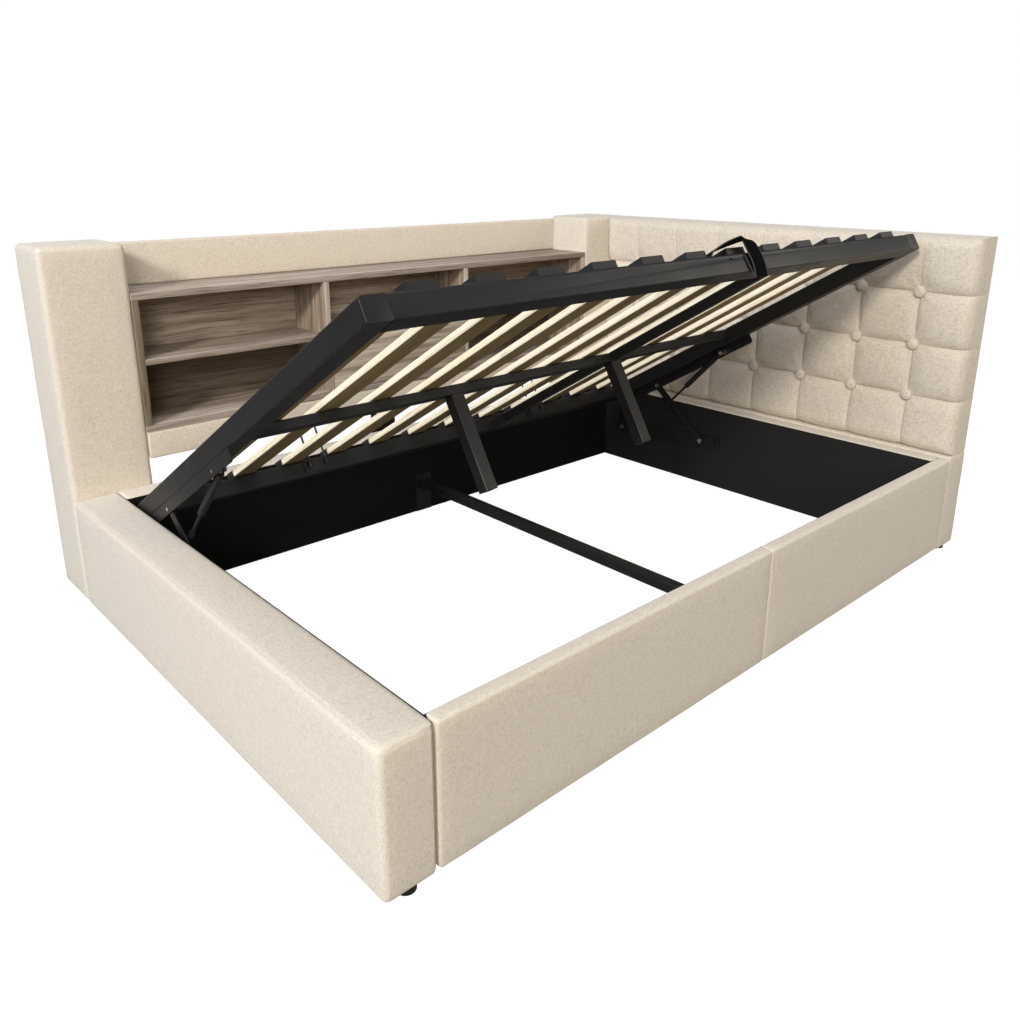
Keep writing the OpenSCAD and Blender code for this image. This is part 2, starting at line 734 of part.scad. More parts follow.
// The middle bar lies in two lengths, before and behind the cross bar
module mid_bar() color(steel_black) seated() on_platform() {
    translate([leg_x[1] - bar_w / 2, tube_w, -bar_drop - bar_w])
        tube_y(cross_bar_s - bar_w / 2 - tube_w, bar_w, bar_w);
    translate([leg_x[1] - bar_w / 2, cross_bar_s + bar_w / 2, -bar_drop - bar_w])
        tube_y(frame_s - tube_w - cross_bar_s - bar_w / 2, bar_w, bar_w);
}

module support_legs() {
    leg_l = -bar_drop - bar_w - leg_bottom - leg_cap_h;
    color(steel_black) seated() on_platform()
        for (x = leg_x)
            translate([x + leg_w / 2, leg_s0, leg_bottom + leg_cap_h])
                rotate([0, -90, 0]) tube_x(leg_l, leg_w, leg_w);
}

module leg_caps() color(plastic_black) seated() on_platform()
    for (x = leg_x)
        translate([x - leg_w / 2, leg_s0, leg_bottom]) tube_plug(leg_w, leg_w, leg_cap_h);

module slats() {
    end_s = holder_s + holder_wall + holder_play;
    color(pine) seated() on_platform()
        for (x = slat_x)
            translate([x - slat_w / 2, frame_s - end_s, slat_z])
                rotate([90, 0, 0]) linear_extrude(frame_s - 2 * end_s)
                round_rect(slat_w, slat_t, slat_r);
}

// A holder is a block with a pocket that is open towards the slat
module slat_holder() difference() {
    cube([holder_w, holder_l, holder_h]);
    translate([holder_wall, holder_wall, holder_skin])
        cube([slat_w + 2 * holder_play, holder_l, slat_t + 2 * holder_play]);
}

module slat_holders() color(plastic_black) seated() on_platform()
    for (x = slat_x) {
        translate([x - holder_w / 2, holder_s, 0]) slat_holder();
        translate([x - holder_w / 2, frame_s - holder_s, 0]) mirror([0, 1, 0]) slat_holder();
    }

// The strap's route: x counted from the middle of the frame, s, z and the twist of its width
strap_route = [
    [-33, 27, 1.6, 0], [-18, 22, 13, 5], [14, 8, 23, 20], [48, -9, 27, 38],
    [77, -15, 27, 60], [97, -10.5, 21, 82], [106, -8.4, 8, 90], [113, -8, -28, 90],
    [107, -6.4, -58, 90], [105, -4.4, -64, 90], [104, -2.6, -58, 90], [102, -2, -30, 90],
    [100, -2, -8, 90]
];
strap_steps = 3;

// Point at the share t between b and c on a smooth curve through a, b, c and d
function between(a, b, c, d, t) =
    b + t / 2 * (c - a + t * (2 * a - 5 * b + 4 * c - d + t * (3 * (b - c) + d - a)));
function strap_line() = let (n = len(strap_route) - 1)
    concat([for (k = [0 : n - 1], i = [0 : strap_steps - 1])
        between(strap_route[max(k - 1, 0)], strap_route[k], strap_route[k + 1],
            strap_route[min(k + 2, n)], i / strap_steps)], [strap_route[n]]);

// A flat band swept along the route: four corners at each point of the line
module lift_strap() {
    line = strap_line();
    n = len(line);
    corners = [for (k = [0 : n - 1])
        let (q = line[k], a = line[max(k - 1, 0)], b = line[min(k + 1, n - 1)],
            along = [b[0] - a[0], b[1] - a[1], b[2] - a[2]],
            wide = [sin(q[3]), cos(q[3]), 0], out = cross(along, wide),
            thick = out / norm(out) * strap_t / 2, half = wide * strap_w / 2,
            p = [q[0], q[1], q[2]])
        each [p - half - thick, p + half - thick, p + half + thick, p - half + thick]];
    walls = [for (k = [0 : n - 2], i = [0 : 3])
        let (a = 4 * k + i, b = 4 * k + (i + 1) % 4)
        each [[a, b, b + 4], [a, b + 4, a + 4]]];
    last = 4 * n - 4;
    color(webbing) seated() on_platform() translate([frame_mid_x, 0, 0])
        polyhedron(corners, concat([[3, 2, 1, 0]], walls,
            [[last, last + 1, last + 2, last + 3]]));
}

// A mattress stop: one rod bent to an upright loop
module mattress_stop() {
    side_z = stop_h - stop_bend_r;
    for (x = [-stop_w / 2, stop_w / 2])
        translate([x, 0, -stop_grip]) cylinder(h = stop_grip + side_z, d = stop_rod_d);
    for (m = [0, 1]) mirror([m, 0, 0])
        translate([stop_w / 2 - stop_bend_r, 0, side_z]) rotate([90, 0, 0])
        rotate_extrude(angle = 90) translate([stop_bend_r, 0]) circle(d = stop_rod_d);
    translate([-stop_w / 2 + stop_bend_r, 0, side_z + stop_bend_r])
        rotate([0, 90, 0]) cylinder(h = stop_w - 2 * stop_bend_r, d = stop_rod_d);
}

module mattress_stops() color(steel_black) seated() on_platform()
    for (x = stop_x) translate([x, stop_s, 0]) mattress_stop();

// A stop's bracket: a plate on the rear tube with two sleeves for the rod
module stop_bracket() {
    sleeve_d = stop_rod_d + 2 * stop_bracket_t;
    difference() {
        union() {
            translate([-stop_bracket_w / 2, stop_rod_d / 2, -tube_h + (tube_h - stop_bracket_h) / 2])
                cube([stop_bracket_w, stop_bracket_t, stop_bracket_h]);
            for (x = [-stop_w / 2, stop_w / 2])
                translate([x, 0, -stop_grip]) cylinder(h = sleeve_l, d = sleeve_d);
        }
        for (x = [-stop_w / 2, stop_w / 2])
            translate([x, 0, -stop_grip - cut])
                cylinder(h = sleeve_l + 2 * cut, d = stop_rod_d + 2 * pin_play);
        translate([-stop_bracket_w / 2 - cut, stop_rod_d / 2 + stop_bracket_t, -tube_h - cut])
            cube([stop_bracket_w + 2 * cut, sleeve_d, tube_h + 2 * cut]);
    }
}

module stop_brackets() color(steel_black) seated() on_platform()
    for (x = stop_x) translate([x, stop_s, 0]) stop_bracket();

// The hanger bar stands on edge under a side tube and carries the hanging pivots
module hanger(side) color(steel_black) seated() on_platform()
    layer(side, hanger_off, plate_t) difference() {
        union() {
            translate([frame_s - hanger_l, -pivot_drop - arm_w / 2])
                round_rect(hanger_l, arm_w, hanger_r);
            translate([frame_s - hanger_l, -pivot_drop]) square([hanger_l, pivot_drop - tube_h]);
        }
        for (p = [rear_hang, front_hang]) translate(p) circle(d = pin_d + 2 * pin_play);
        translate(strut_hang) circle(d = stud_d + 2 * pin_play);
    }

module left_hanger() hanger(-1);
module right_hanger() hanger(1);

// Places of the base bolts along the base plate, counted from the front pivot
bolt_at = [for (k = [0 : bolt_count - 1])
    k == 0 ? -base_plate_nose + base_plate_h / 2 : k * base_span / bolt_count];

module base_plate(side) color(steel_black) seated() layer(side, 0, plate_t)
    translate(front_pivot) rotate(base_slope) difference() {
        translate([-base_plate_nose, -base_plate_h / 2])
            round_rect(base_plate_nose + base_span + base_plate_tail, base_plate_h,
                base_plate_r);
        for (t = [0, base_span]) translate([t, 0]) circle(d = pin_d + 2 * pin_play);
        for (t = bolt_at) translate([t, 0]) circle(d = bolt_d + 2 * pin_play);
    }

module base_plate_left() base_plate(-1);
module base_plate_right() base_plate(1);

// A flat bar with round ends and a hole at each of the given distances
module arm_outline(l, holes) difference() {
    union() {
        translate([0, -arm_w / 2]) square([l, arm_w]);
        for (t = [0, l]) translate([t, 0]) circle(d = arm_w);
    }
    for (t = holes) translate([t, 0]) circle(d = pin_d + 2 * pin_play);
}

module front_arm(side) color(steel_black) seated()
    layer(side, arm_off, plate_t) translate(front_pivot) rotate(front_arm_angle)
    arm_outline(front_arm_l, [0, front_arm_l]);

module front_arm_left() front_arm(-1);
module front_arm_right() front_arm(1);

// The rear arm, with the head of its upper rivet
module rear_arm(side) color(steel_black) seated() {
    layer(side, arm_off, plate_t) translate(rear_pivot) rotate(rear_arm_angle)
        arm_outline(rear_arm_l, [0]);
    disc(side, arm_off + plate_t, pin_head_h, pin_head_d, rear_top);
}

module rear_arm_left() rear_arm(-1);
module rear_arm_right() rear_arm(1);

// Fixed pivots: a shank with a spacer behind the arm and a head before it
module base_pins() color(zinc) seated()
    for (side = [-1, 1], p = [rear_pivot, front_pivot]) {
        disc(side, 0, head_off, pin_d, p);
        disc(side, plate_t, spacer_l - soft_gap, pin_head_d, p);
        disc(side, head_off, pin_head_h, pin_head_d, p);
    }

// Hanging pivots and the struts' upper studs; the rearmost pin stops short of its arm
module hanger_pins() color(zinc) seated() {
    eye_off = strut_off - strut_eye_t / 2;
    hanger_in = hanger_off + plate_t;
    for (side = [-1, 1]) {
        disc(side, hanger_off, arm_off - hanger_off - soft_gap, pin_d, rear_top);
        disc(side, hanger_off, head_off - hanger_off, pin_d, front_top);
        disc(side, head_off, pin_head_h, pin_head_d, front_top);
        disc(side, hanger_off, eye_off + strut_eye_t + soft_gap - hanger_off, stud_d, strut_high);
        disc(side, hanger_in, eye_off - soft_gap - hanger_in, strut_eye_d, strut_high);
        disc(side, eye_off + strut_eye_t + soft_gap, stud_cap_t, strut_eye_d, strut_high);
    }
}

// Hexagon bolts that hold the base plates
module base_bolts() color(steel_black) seated()
    for (side = [-1, 1], t = bolt_at) {
        p = front_pivot + turned([t, 0], base_slope);
        disc(side, 0, plate_t, bolt_d, p);
        layer(side, plate_t, bolt_head_h) translate(p) circle(d = bolt_af / cos(30), $fn = 6);
    }

// Puts what is drawn along Y on the line from a strut's upper stud to its lower one
module on_strut(side)
    translate([side < 0 ? in_left + strut_off : in_right - strut_off, strut_high[0],
        strut_high[1]])
    rotate([strut_angle, 0, 0])
    children();

// A round piece on the strut's own line, from y0 to y1
module strut_round(y0, y1, d) translate([0, y0, 0]) rotate([-90, 0, 0])
    cylinder(h = y1 - y0, d = d);

module strut_eye(y) translate([-strut_eye_t / 2, y, 0]) rotate([0, 90, 0])
    cylinder(h = strut_eye_t, d = strut_eye_d);

// The flat block between an eye and the round part beside it
module strut_block(y) translate([-strut_eye_t / 2, y, -strut_block_w / 2])
    cube([strut_eye_t, strut_end_l, strut_block_w]);

chamber_y = strut_end_l + cylinder_end_t;
cylinder_end = strut_end_l + cylinder_l;
guide_y = cylinder_end - guide_l;

module strut_cylinder(side) color(steel_black) seated() on_strut(side) difference() {
    union() {
        strut_eye(0);
        strut_block(0);
        strut_round(strut_end_l, cylinder_end, cylinder_d);
    }
    translate([-strut_eye_t, 0, 0]) rotate([0, 90, 0])
        cylinder(h = 2 * strut_eye_t, d = stud_d + 2 * pin_play);
    strut_round(chamber_y, guide_y, cylinder_d - 2 * cylinder_wall);
    strut_round(guide_y - cut, cylinder_end + cut, rod_d + 2 * pin_play);
}

module strut_cylinder_left() strut_cylinder(-1);
module strut_cylinder_right() strut_cylinder(1);

// The rod with its piston and lower eye; its stud stops short of the arm
module strut_rod(side) {
    stud_l = strut_off - head_off;
    color(steel_black) seated() on_strut(side) {
        strut_round(guide_y - soft_gap - piston_l, guide_y - soft_gap,
            cylinder_d - 2 * cylinder_wall - 2 * pin_play);
        strut_round(guide_y - piston_l, strut_l - strut_end_l, rod_d);
        strut_block(strut_l - strut_end_l);
        strut_eye(strut_l);
        translate([side < 0 ? -stud_l : 0, strut_l, 0]) rotate([0, 90, 0])
            cylinder(h = stud_l, d = stud_d);
    }
}

module strut_rod_left() strut_rod(-1);
module strut_rod_right() strut_rod(1);

left_board();
front_rail_left();
front_rail_right();
right_board();
end_rail();
back_rail();
lining_left();
lining_front();
lining_right();
lining_back();
left_post();
right_post();
headboard();
headboard_buttons();
top_panel();
lower_panel();
case_top();
case_bottom();
case_left_side();
case_right_side();
case_dividers();
case_shelves();
case_back();
case_leg();
drawer_front();
drawer_box();
centre_beam();
beam_brackets();
feet();
front_tube();
rear_tube();
left_tube();
right_tube();
tube_caps();
cross_bar();
mid_bar();
support_legs();
leg_caps();
slats();
slat_holders();
lift_strap();
mattress_stops();
stop_brackets();
left_hanger();
right_hanger();
base_plate_left();
base_plate_right();
front_arm_left();
front_arm_right();
rear_arm_left();
rear_arm_right();
strut_cylinder_left();
strut_cylinder_right();
strut_rod_left();
strut_rod_right();
base_pins();
hanger_pins();
base_bolts();
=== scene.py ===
# %% [markdown]
# # A side-opening ottoman bed
# This notebook dresses a bed whose steel, timber and joints already exist as a CAD model.
# The CAD model is loaded first and never changed. Hard parts keep their CAD shape and get a
# better finish. Soft parts, such as the linen boards and the tufted headboard, are modelled
# anew over their plain CAD solids. All lengths are metres, with X towards the headboard,
# Y towards the bookcase and Z up.

import math

import bmesh
import bpy
from mathutils import Euler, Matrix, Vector, noise


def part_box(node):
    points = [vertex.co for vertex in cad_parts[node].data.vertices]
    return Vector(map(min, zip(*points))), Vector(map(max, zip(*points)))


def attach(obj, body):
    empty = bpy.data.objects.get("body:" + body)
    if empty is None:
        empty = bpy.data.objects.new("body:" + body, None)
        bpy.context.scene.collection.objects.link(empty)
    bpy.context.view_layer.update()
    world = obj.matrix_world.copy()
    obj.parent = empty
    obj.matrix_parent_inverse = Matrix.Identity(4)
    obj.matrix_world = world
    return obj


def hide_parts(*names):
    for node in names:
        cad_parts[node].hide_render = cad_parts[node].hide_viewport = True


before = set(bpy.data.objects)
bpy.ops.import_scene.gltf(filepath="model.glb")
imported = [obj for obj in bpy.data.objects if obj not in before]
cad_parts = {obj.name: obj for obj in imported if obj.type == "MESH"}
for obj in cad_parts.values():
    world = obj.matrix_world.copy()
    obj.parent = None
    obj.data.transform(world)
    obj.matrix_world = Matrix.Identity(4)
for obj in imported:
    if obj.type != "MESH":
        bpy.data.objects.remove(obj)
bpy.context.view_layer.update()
print("CAD nodes:", len(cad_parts))

# %% [markdown]
# ## Camera
# The photograph was taken from above the foot of the bed, close to its front left corner,
# with a fairly wide lens. The camera's place and turn were found by matching the corners of
# the boards. A small shift puts the picture's centre where the photograph has it.

# %% Camera
camera_data = bpy.data.cameras.new("photo_camera")
camera_data.lens = 31.24
camera_data.sensor_width = 36.0
camera_data.shift_x = -0.0029
camera_data.shift_y = -0.0756
camera_data.clip_end = 50.0
camera = bpy.data.objects.new("photo_camera", camera_data)
camera.location = (-1.6761, -1.74625, 1.1354)
camera.rotation_euler = Euler((1.27463, -0.00172, -0.74138), "XYZ")
bpy.context.collection.objects.link(camera)
bpy.context.scene.camera = camera
print("camera lens:", camera_data.lens, "mm")

# %% [markdown]
# ## Light
# The photograph's main light stands to the left and well above the bed: the shadows of the
# post and of the shelves in the bookcase give its direction. A lamp beside the camera, a broad
# cool one at the left and one high up fill the shadows, and a weak one at the right gives the
# steel its sheen. A soft one behind lights the back, which the photograph doesn't show. Little
# light comes from below, so the undersides are dark.

# %% Light
scene = bpy.context.scene
scene.view_settings.view_transform = "Standard"


def area_lamp(name, place, target, size, power, tint):
    """A square lamp that shines from place to target. Its power is in watts."""
    data = bpy.data.lights.new(name, "AREA")
    data.shape = "SQUARE"
    data.size = size
    data.energy = power
    data.color = tint
    lamp = bpy.data.objects.new(name, data)
    lamp.location = place
    turn = (Vector(target) - Vector(place)).to_track_quat("-Z", "Y")
    lamp.rotation_euler = turn.to_euler()
    bpy.context.collection.objects.link(lamp)


area_lamp("side_lamp", (-7.55, -3.75, 4.5), (-0.3, 0.3, 0.5), 1.2, 550.0, (1.0, 0.95, 0.9))
area_lamp("front_lamp", (-5.4, -7.0, 3.2), (0.0, 0.2, 0.5), 2.4, 270.0, (1.0, 0.97, 0.93))
area_lamp("left_lamp", (-8.5, 0.6, 3.2), (0.0, 0.0, 0.4), 4.0, 340.0, (0.68, 0.79, 1.0))
area_lamp("top_lamp", (-1.2, -0.9, 5.4), (0.0, 0.0, 0.4), 4.0, 115.0, (0.8, 0.87, 1.0))
area_lamp("right_lamp", (5.5, -4.7, 2.9), (0.5, 0.0, 0.5), 4.5, 190.0, (1.0, 0.93, 0.85))
area_lamp("back_lamp", (3.2, 7.4, 3.0), (0.0, 0.6, 0.4), 5.0, 150.0, (1.0, 0.97, 0.93))

# %% [markdown]
# ## White background
# The photograph is cut out on white. World and floor are white only to rays that come from the
# camera or pass through glass, so they put no extra light on the bed. Gloss sees a tenth of that
# white, as the steel in the photograph mirrors hardly any. The Light Path node tells the kinds
# of rays apart.

# %% Choose by the kind of ray
gloss_share = 0.1


def math_node(tree, operation, first, second=None):
    """One step of arithmetic. Each term is a number or the output of another node."""
    node = tree.nodes.new("ShaderNodeMath")
    node.operation = operation
    for place, value in enumerate((first, second)):
        if value is None:
            continue
        if isinstance(value, (int, float)):
            node.inputs[place].default_value = value
        else:
            tree.links.new(value, node.inputs[place])
    return node.outputs[0]


def highest(tree, first, second, third):
    return math_node(tree, "MAXIMUM", math_node(tree, "MAXIMUM", first, second), third)


def choose_by_ray(tree, out, usual, white):
    """Rays from the camera or through glass see white, gloss a share, all others usual."""
    ray = tree.nodes.new("ShaderNodeLightPath")
    gloss = math_node(tree, "MULTIPLY", ray.outputs["Is Glossy Ray"], gloss_share)
    share = highest(tree, ray.outputs["Is Camera Ray"], gloss, ray.outputs["Is Transmission Ray"])
    pick = tree.nodes.new("ShaderNodeMixShader")
    tree.links.new(share, pick.inputs["Fac"])
    tree.links.new(usual, pick.inputs[1])
    tree.links.new(white, pick.inputs[2])
    tree.links.new(pick.outputs["Shader"], out.inputs["Surface"])


print("share of white in gloss:", gloss_share)


# %% World
def background(tree, tint, strength):
    node = tree.nodes.new("ShaderNodeBackground")
    node.inputs["Color"].default_value = (*tint, 1.0)
    node.inputs["Strength"].default_value = strength
    return node.outputs["Background"]


world = bpy.data.worlds.new("studio")
scene.world = world
world.use_nodes = True
tree = world.node_tree
tree.nodes.clear()
soft = background(tree, (1.0, 0.99, 0.97), 0.04)
white = background(tree, (1.0, 1.0, 1.0), 1.0)
choose_by_ray(tree, tree.nodes.new("ShaderNodeOutputWorld"), soft, white)
print("world:", world.name)

# %% [markdown]
# ## Floor
# The floor is a wide plane. To the camera it glows almost white by itself, so that no lamp
# leaves a grey patch on it. A weak matt share is added to the glow and keeps a faint shadow of
# the bed. All other rays meet a dark matt floor.

# %% Floor
floor_half = 9.0
floor_glow = 0.96
shadow_share = 0.2
dark_floor = 0.1


def matt(tree, grey):
    node = tree.nodes.new("ShaderNodeBsdfDiffuse")
    node.inputs["Color"].default_value = (grey, grey, grey, 1.0)
    return node.outputs["BSDF"]


floor_mesh = bpy.data.meshes.new("floor")
bm = bmesh.new()
bmesh.ops.create_grid(bm, x_segments=1, y_segments=1, size=floor_half)
bm.to_mesh(floor_mesh)
bm.free()
floor = bpy.data.objects.new("floor", floor_mesh)
bpy.context.collection.objects.link(floor)

floor_look = bpy.data.materials.new("studio_floor")
floor_look.use_nodes = True
tree = floor_look.node_tree
tree.nodes.clear()
glow = tree.nodes.new("ShaderNodeEmission")
glow.inputs["Strength"].default_value = floor_glow
shadowed = tree.nodes.new("ShaderNodeAddShader")
tree.links.new(glow.outputs["Emission"], shadowed.inputs[0])
tree.links.new(matt(tree, shadow_share), shadowed.inputs[1])
choose_by_ray(tree, tree.nodes.new("ShaderNodeOutputMaterial"),
    matt(tree, dark_floor), shadowed.outputs["Shader"])
floor_mesh.materials.append(floor_look)
print("floor:", 2 * floor_half, "m wide")

# %% [markdown]
# ## Shared shader groups
# Several finishes use the same effects: streaks that run along one direction, threads that
# cross, and the fine grain of a painted skin. Each effect is built once as a node group with
# named sockets, and every material sets its own values on it. The patterns read Object
# coordinates, so they stay on the piece when the bed opens or the camera moves.

# %% Helpers for node groups
def new_group(name, inputs, outputs):
    """inputs lists (label, kind, value), outputs the labels of plain numbers."""
    group = bpy.data.node_groups.new(name, "ShaderNodeTree")
    for label, kind, value in inputs:
        socket = group.interface.new_socket(label, in_out="INPUT", socket_type=kind)
        if value is not None:
            socket.default_value = value
    for label in outputs:
        group.interface.new_socket(label, in_out="OUTPUT", socket_type="NodeSocketFloat")
    return group, group.nodes.new("NodeGroupInput"), group.nodes.new("NodeGroupOutput")


def scaled(tree, vector, scale):
    node = tree.nodes.new("ShaderNodeMapping")
    node.inputs["Scale"].default_value = scale
    tree.links.new(vector, node.inputs["Vector"])
    return node.outputs["Vector"]


def cloud(tree, vector, scale, detail=3.0, roughness=0.5):
    node = tree.nodes.new("ShaderNodeTexNoise")
    node.inputs["Scale"].default_value = scale
    node.inputs["Detail"].default_value = detail
    node.inputs["Roughness"].default_value = roughness
    tree.links.new(vector, node.inputs["Vector"])
    return node.outputs["Fac"]


def drawn_out(tree, vector, axis, along, across, detail, roughness=0.5):
    """Noise with a low scale along one axis and a high one across it, so it makes lines."""
    scale = [across, across, across]
    scale[axis] = along
    return cloud(tree, scaled(tree, vector, scale), 1.0, detail, roughness)


def ramp(tree, value, low, high, to_low=0.0, to_high=1.0):
    node = tree.nodes.new("ShaderNodeMapRange")
    node.inputs["From Min"].default_value = low
    node.inputs["From Max"].default_value = high
    node.inputs["To Min"].default_value = to_low
    node.inputs["To Max"].default_value = to_high
    tree.links.new(value, node.inputs["Value"])
    return node.outputs["Result"]


print("helpers for node groups are ready")

# %% [markdown]
# ### Threads, streaks and grain
# Threads along X, Y and Z are noise that is drawn out along one axis. On any face of a
# board two of the three sets show as crossing threads, and the third as fine slubs, the thick
# spots of a thread. Timber streaks run along X only and wander a little sideways, and a finer
# set of lines gives the pores. The grain of a painted skin is plain noise.

# %% Crossing threads, for linen
group, given, result = new_group(
    "crossing_threads", [("Vector", "NodeSocketVector", None)], ["Height", "Slub", "Cloud"])
vector = given.outputs["Vector"]
threads = [drawn_out(group, vector, axis, 110.0, 900.0, 1.0) for axis in range(3)]
slubs = [drawn_out(group, vector, axis, 60.0, 430.0, 2.0, 0.6) for axis in range(3)]
thick = ramp(group, highest(group, *slubs), 0.46, 0.76)
group.links.new(highest(group, *threads), result.inputs["Height"])
group.links.new(thick, result.inputs["Slub"])
group.links.new(cloud(group, vector, 38.0, 4.0), result.inputs["Cloud"])
crossing_threads = group
print("group:", group.name)

# %% Streaks along X, for timber
group, given, result = new_group(
    "timber_streaks", [("Vector", "NodeSocketVector", None)], ["Streak", "Pore", "Board"])
vector = given.outputs["Vector"]
wander = group.nodes.new("ShaderNodeTexNoise")
wander.inputs["Scale"].default_value = 2.2
group.links.new(vector, wander.inputs["Vector"])
bend = group.nodes.new("ShaderNodeVectorMath")
bend.operation = "MULTIPLY_ADD"
group.links.new(wander.outputs["Color"], bend.inputs[0])
bend.inputs[1].default_value = (0.0, 0.02, 0.02)
group.links.new(vector, bend.inputs[2])
grain = bend.outputs["Vector"]
streaks = drawn_out(group, grain, 0, 1.3, 50.0, 7.0, 0.68)
pores = ramp(group, drawn_out(group, grain, 0, 9.0, 330.0, 2.0), 0.54, 0.68)
boards = drawn_out(group, grain, 0, 0.7, 9.0, 2.0)
group.links.new(streaks, result.inputs["Streak"])
group.links.new(pores, result.inputs["Pore"])
group.links.new(boards, result.inputs["Board"])
timber_streaks = group
print("group:", group.name)

# %% Grain of a painted or moulded skin
group, given, result = new_group(
    "fine_grain", [("Vector", "NodeSocketVector", None), ("Size", "NodeSocketFloat", 900.0)],
    ["Height", "Dust"])
vector = given.outputs["Vector"]
speckle = group.nodes.new("ShaderNodeTexNoise")
speckle.inputs["Detail"].default_value = 2.0
group.links.new(vector, speckle.inputs["Vector"])
group.links.new(given.outputs["Size"], speckle.inputs["Scale"])
dust = ramp(group, cloud(group, vector, 6.0, 5.0, 0.65), 0.4, 0.75)
group.links.new(speckle.outputs["Fac"], result.inputs["Height"])
group.links.new(dust, result.inputs["Dust"])
fine_grain = group
print("group:", group.name)


# %% [markdown]
# ## Finishes
# Each material holds one Principled shader. Its colour is mixed from a light and a dark tone
# by the masks of a group, and a Bump node turns the group's height into a fine relief. Painted
# pictures could do the same, but these patterns need no unwrapping and no image files.

# %% Helpers for materials
def colour(red, green, blue):
    """A colour as seen on screen, 0 to 255, turned into the linear values of a shader."""
    linear = []
    for part in (red, green, blue):
        part /= 255.0
        linear.append(part / 12.92 if part <= 0.04045 else ((part + 0.055) / 1.055) ** 2.4)
    return (*linear, 1.0)


def new_material(name, roughness, metallic=0.0):
    material = bpy.data.materials.new(name)
    material.use_nodes = True
    shader = material.node_tree.nodes["Principled BSDF"]
    shader.inputs["Roughness"].default_value = roughness
    shader.inputs["Metallic"].default_value = metallic
    return material, material.node_tree, shader


def place_group(tree, group, vector):
    node = tree.nodes.new("ShaderNodeGroup")
    node.node_tree = group
    tree.links.new(vector, node.inputs["Vector"])
    return node


def object_vector(tree, turn=(0.0, 0.0, 0.0)):
    coordinates = tree.nodes.new("ShaderNodeTexCoord")
    if not any(turn):
        return coordinates.outputs["Object"]
    node = tree.nodes.new("ShaderNodeMapping")
    node.inputs["Rotation"].default_value = turn
    tree.links.new(coordinates.outputs["Object"], node.inputs["Vector"])
    return node.outputs["Vector"]


def mixed(tree, factor, first, second):
    """A blend of two colours. Each is a value or the output of another node."""
    node = tree.nodes.new("ShaderNodeMix")
    node.data_type = "RGBA"
    tree.links.new(factor, node.inputs["Factor"])
    for place, value in (("A", first), ("B", second)):
        socket = [s for s in node.inputs if s.name == place and s.type == "RGBA"][0]
        if isinstance(value, tuple):
            socket.default_value = value
        else:
            tree.links.new(value, socket)
    return [s for s in node.outputs if s.type == "RGBA"][0]


def relief(tree, shader, height, distance, strength=1.0):
    node = tree.nodes.new("ShaderNodeBump")
    node.inputs["Distance"].default_value = distance
    node.inputs["Strength"].default_value = strength
    tree.links.new(height, node.inputs["Height"])
    tree.links.new(node.outputs["Normal"], shader.inputs["Normal"])


print("screen grey 128 in linear light:", round(colour(128, 128, 128)[0], 3))

# %% [markdown]
# ### Linen
# The real cover is a coarse linen whose threads differ in thickness and tone. Thick spots take
# the dark tone, and soft patches look a little worn. The headboard's cloth is the same weave
# with larger threads, in slightly darker tones that are a painted shade. A little sheen stands
# for the loose fibres.

# %% Linen
worn_tone = colour(200, 187, 166)


def linen(name, light, dark, fineness):
    material, tree, shader = new_material(name, 0.92)
    vector = scaled(tree, object_vector(tree), (fineness, fineness, fineness))
    weave = place_group(tree, crossing_threads, vector)
    thread = mixed(tree, weave.outputs["Slub"], light, dark)
    worn = ramp(tree, weave.outputs["Cloud"], 0.35, 0.7, to_high=0.12)
    tree.links.new(mixed(tree, worn, thread, worn_tone), shader.inputs["Base Color"])
    shader.inputs["Sheen Weight"].default_value = 0.25
    shader.inputs["Sheen Roughness"].default_value = 0.5
    shader.inputs["Specular IOR Level"].default_value = 0.08
    relief(tree, shader, weave.outputs["Height"], 0.0006)
    return material


linen_look = linen("beige_linen", colour(231, 221, 204), colour(186, 173, 152), 1.7)
# The headboard's linen is a slightly darker copy: a painted shade.
slub_linen_look = linen("slub_linen", colour(228, 217, 199), colour(180, 166, 144), 1.0)
print("materials:", linen_look.name, slub_linen_look.name)

# %% [markdown]
# ### Timber
# The bookcase is of pale oak with grey-brown streaks and fine open pores, and the slats are
# layers of pine. The streaks of the group run along X, so for an upright board or a slat the
# pattern is turned first. The level boards take lighter tones, a painted light on their tops.
# The bands on the boards' front edges are darker on the level boards, a painted shade, and
# darker still on the left side, the painted shadow of the post. The back board is darker in
# its lower part, a painted shade.

# %% Timber
pore_share = 0.65
# How far the painted shade at the foot of the back board fades in, in metres.
painted_shade_below_fade = 0.05


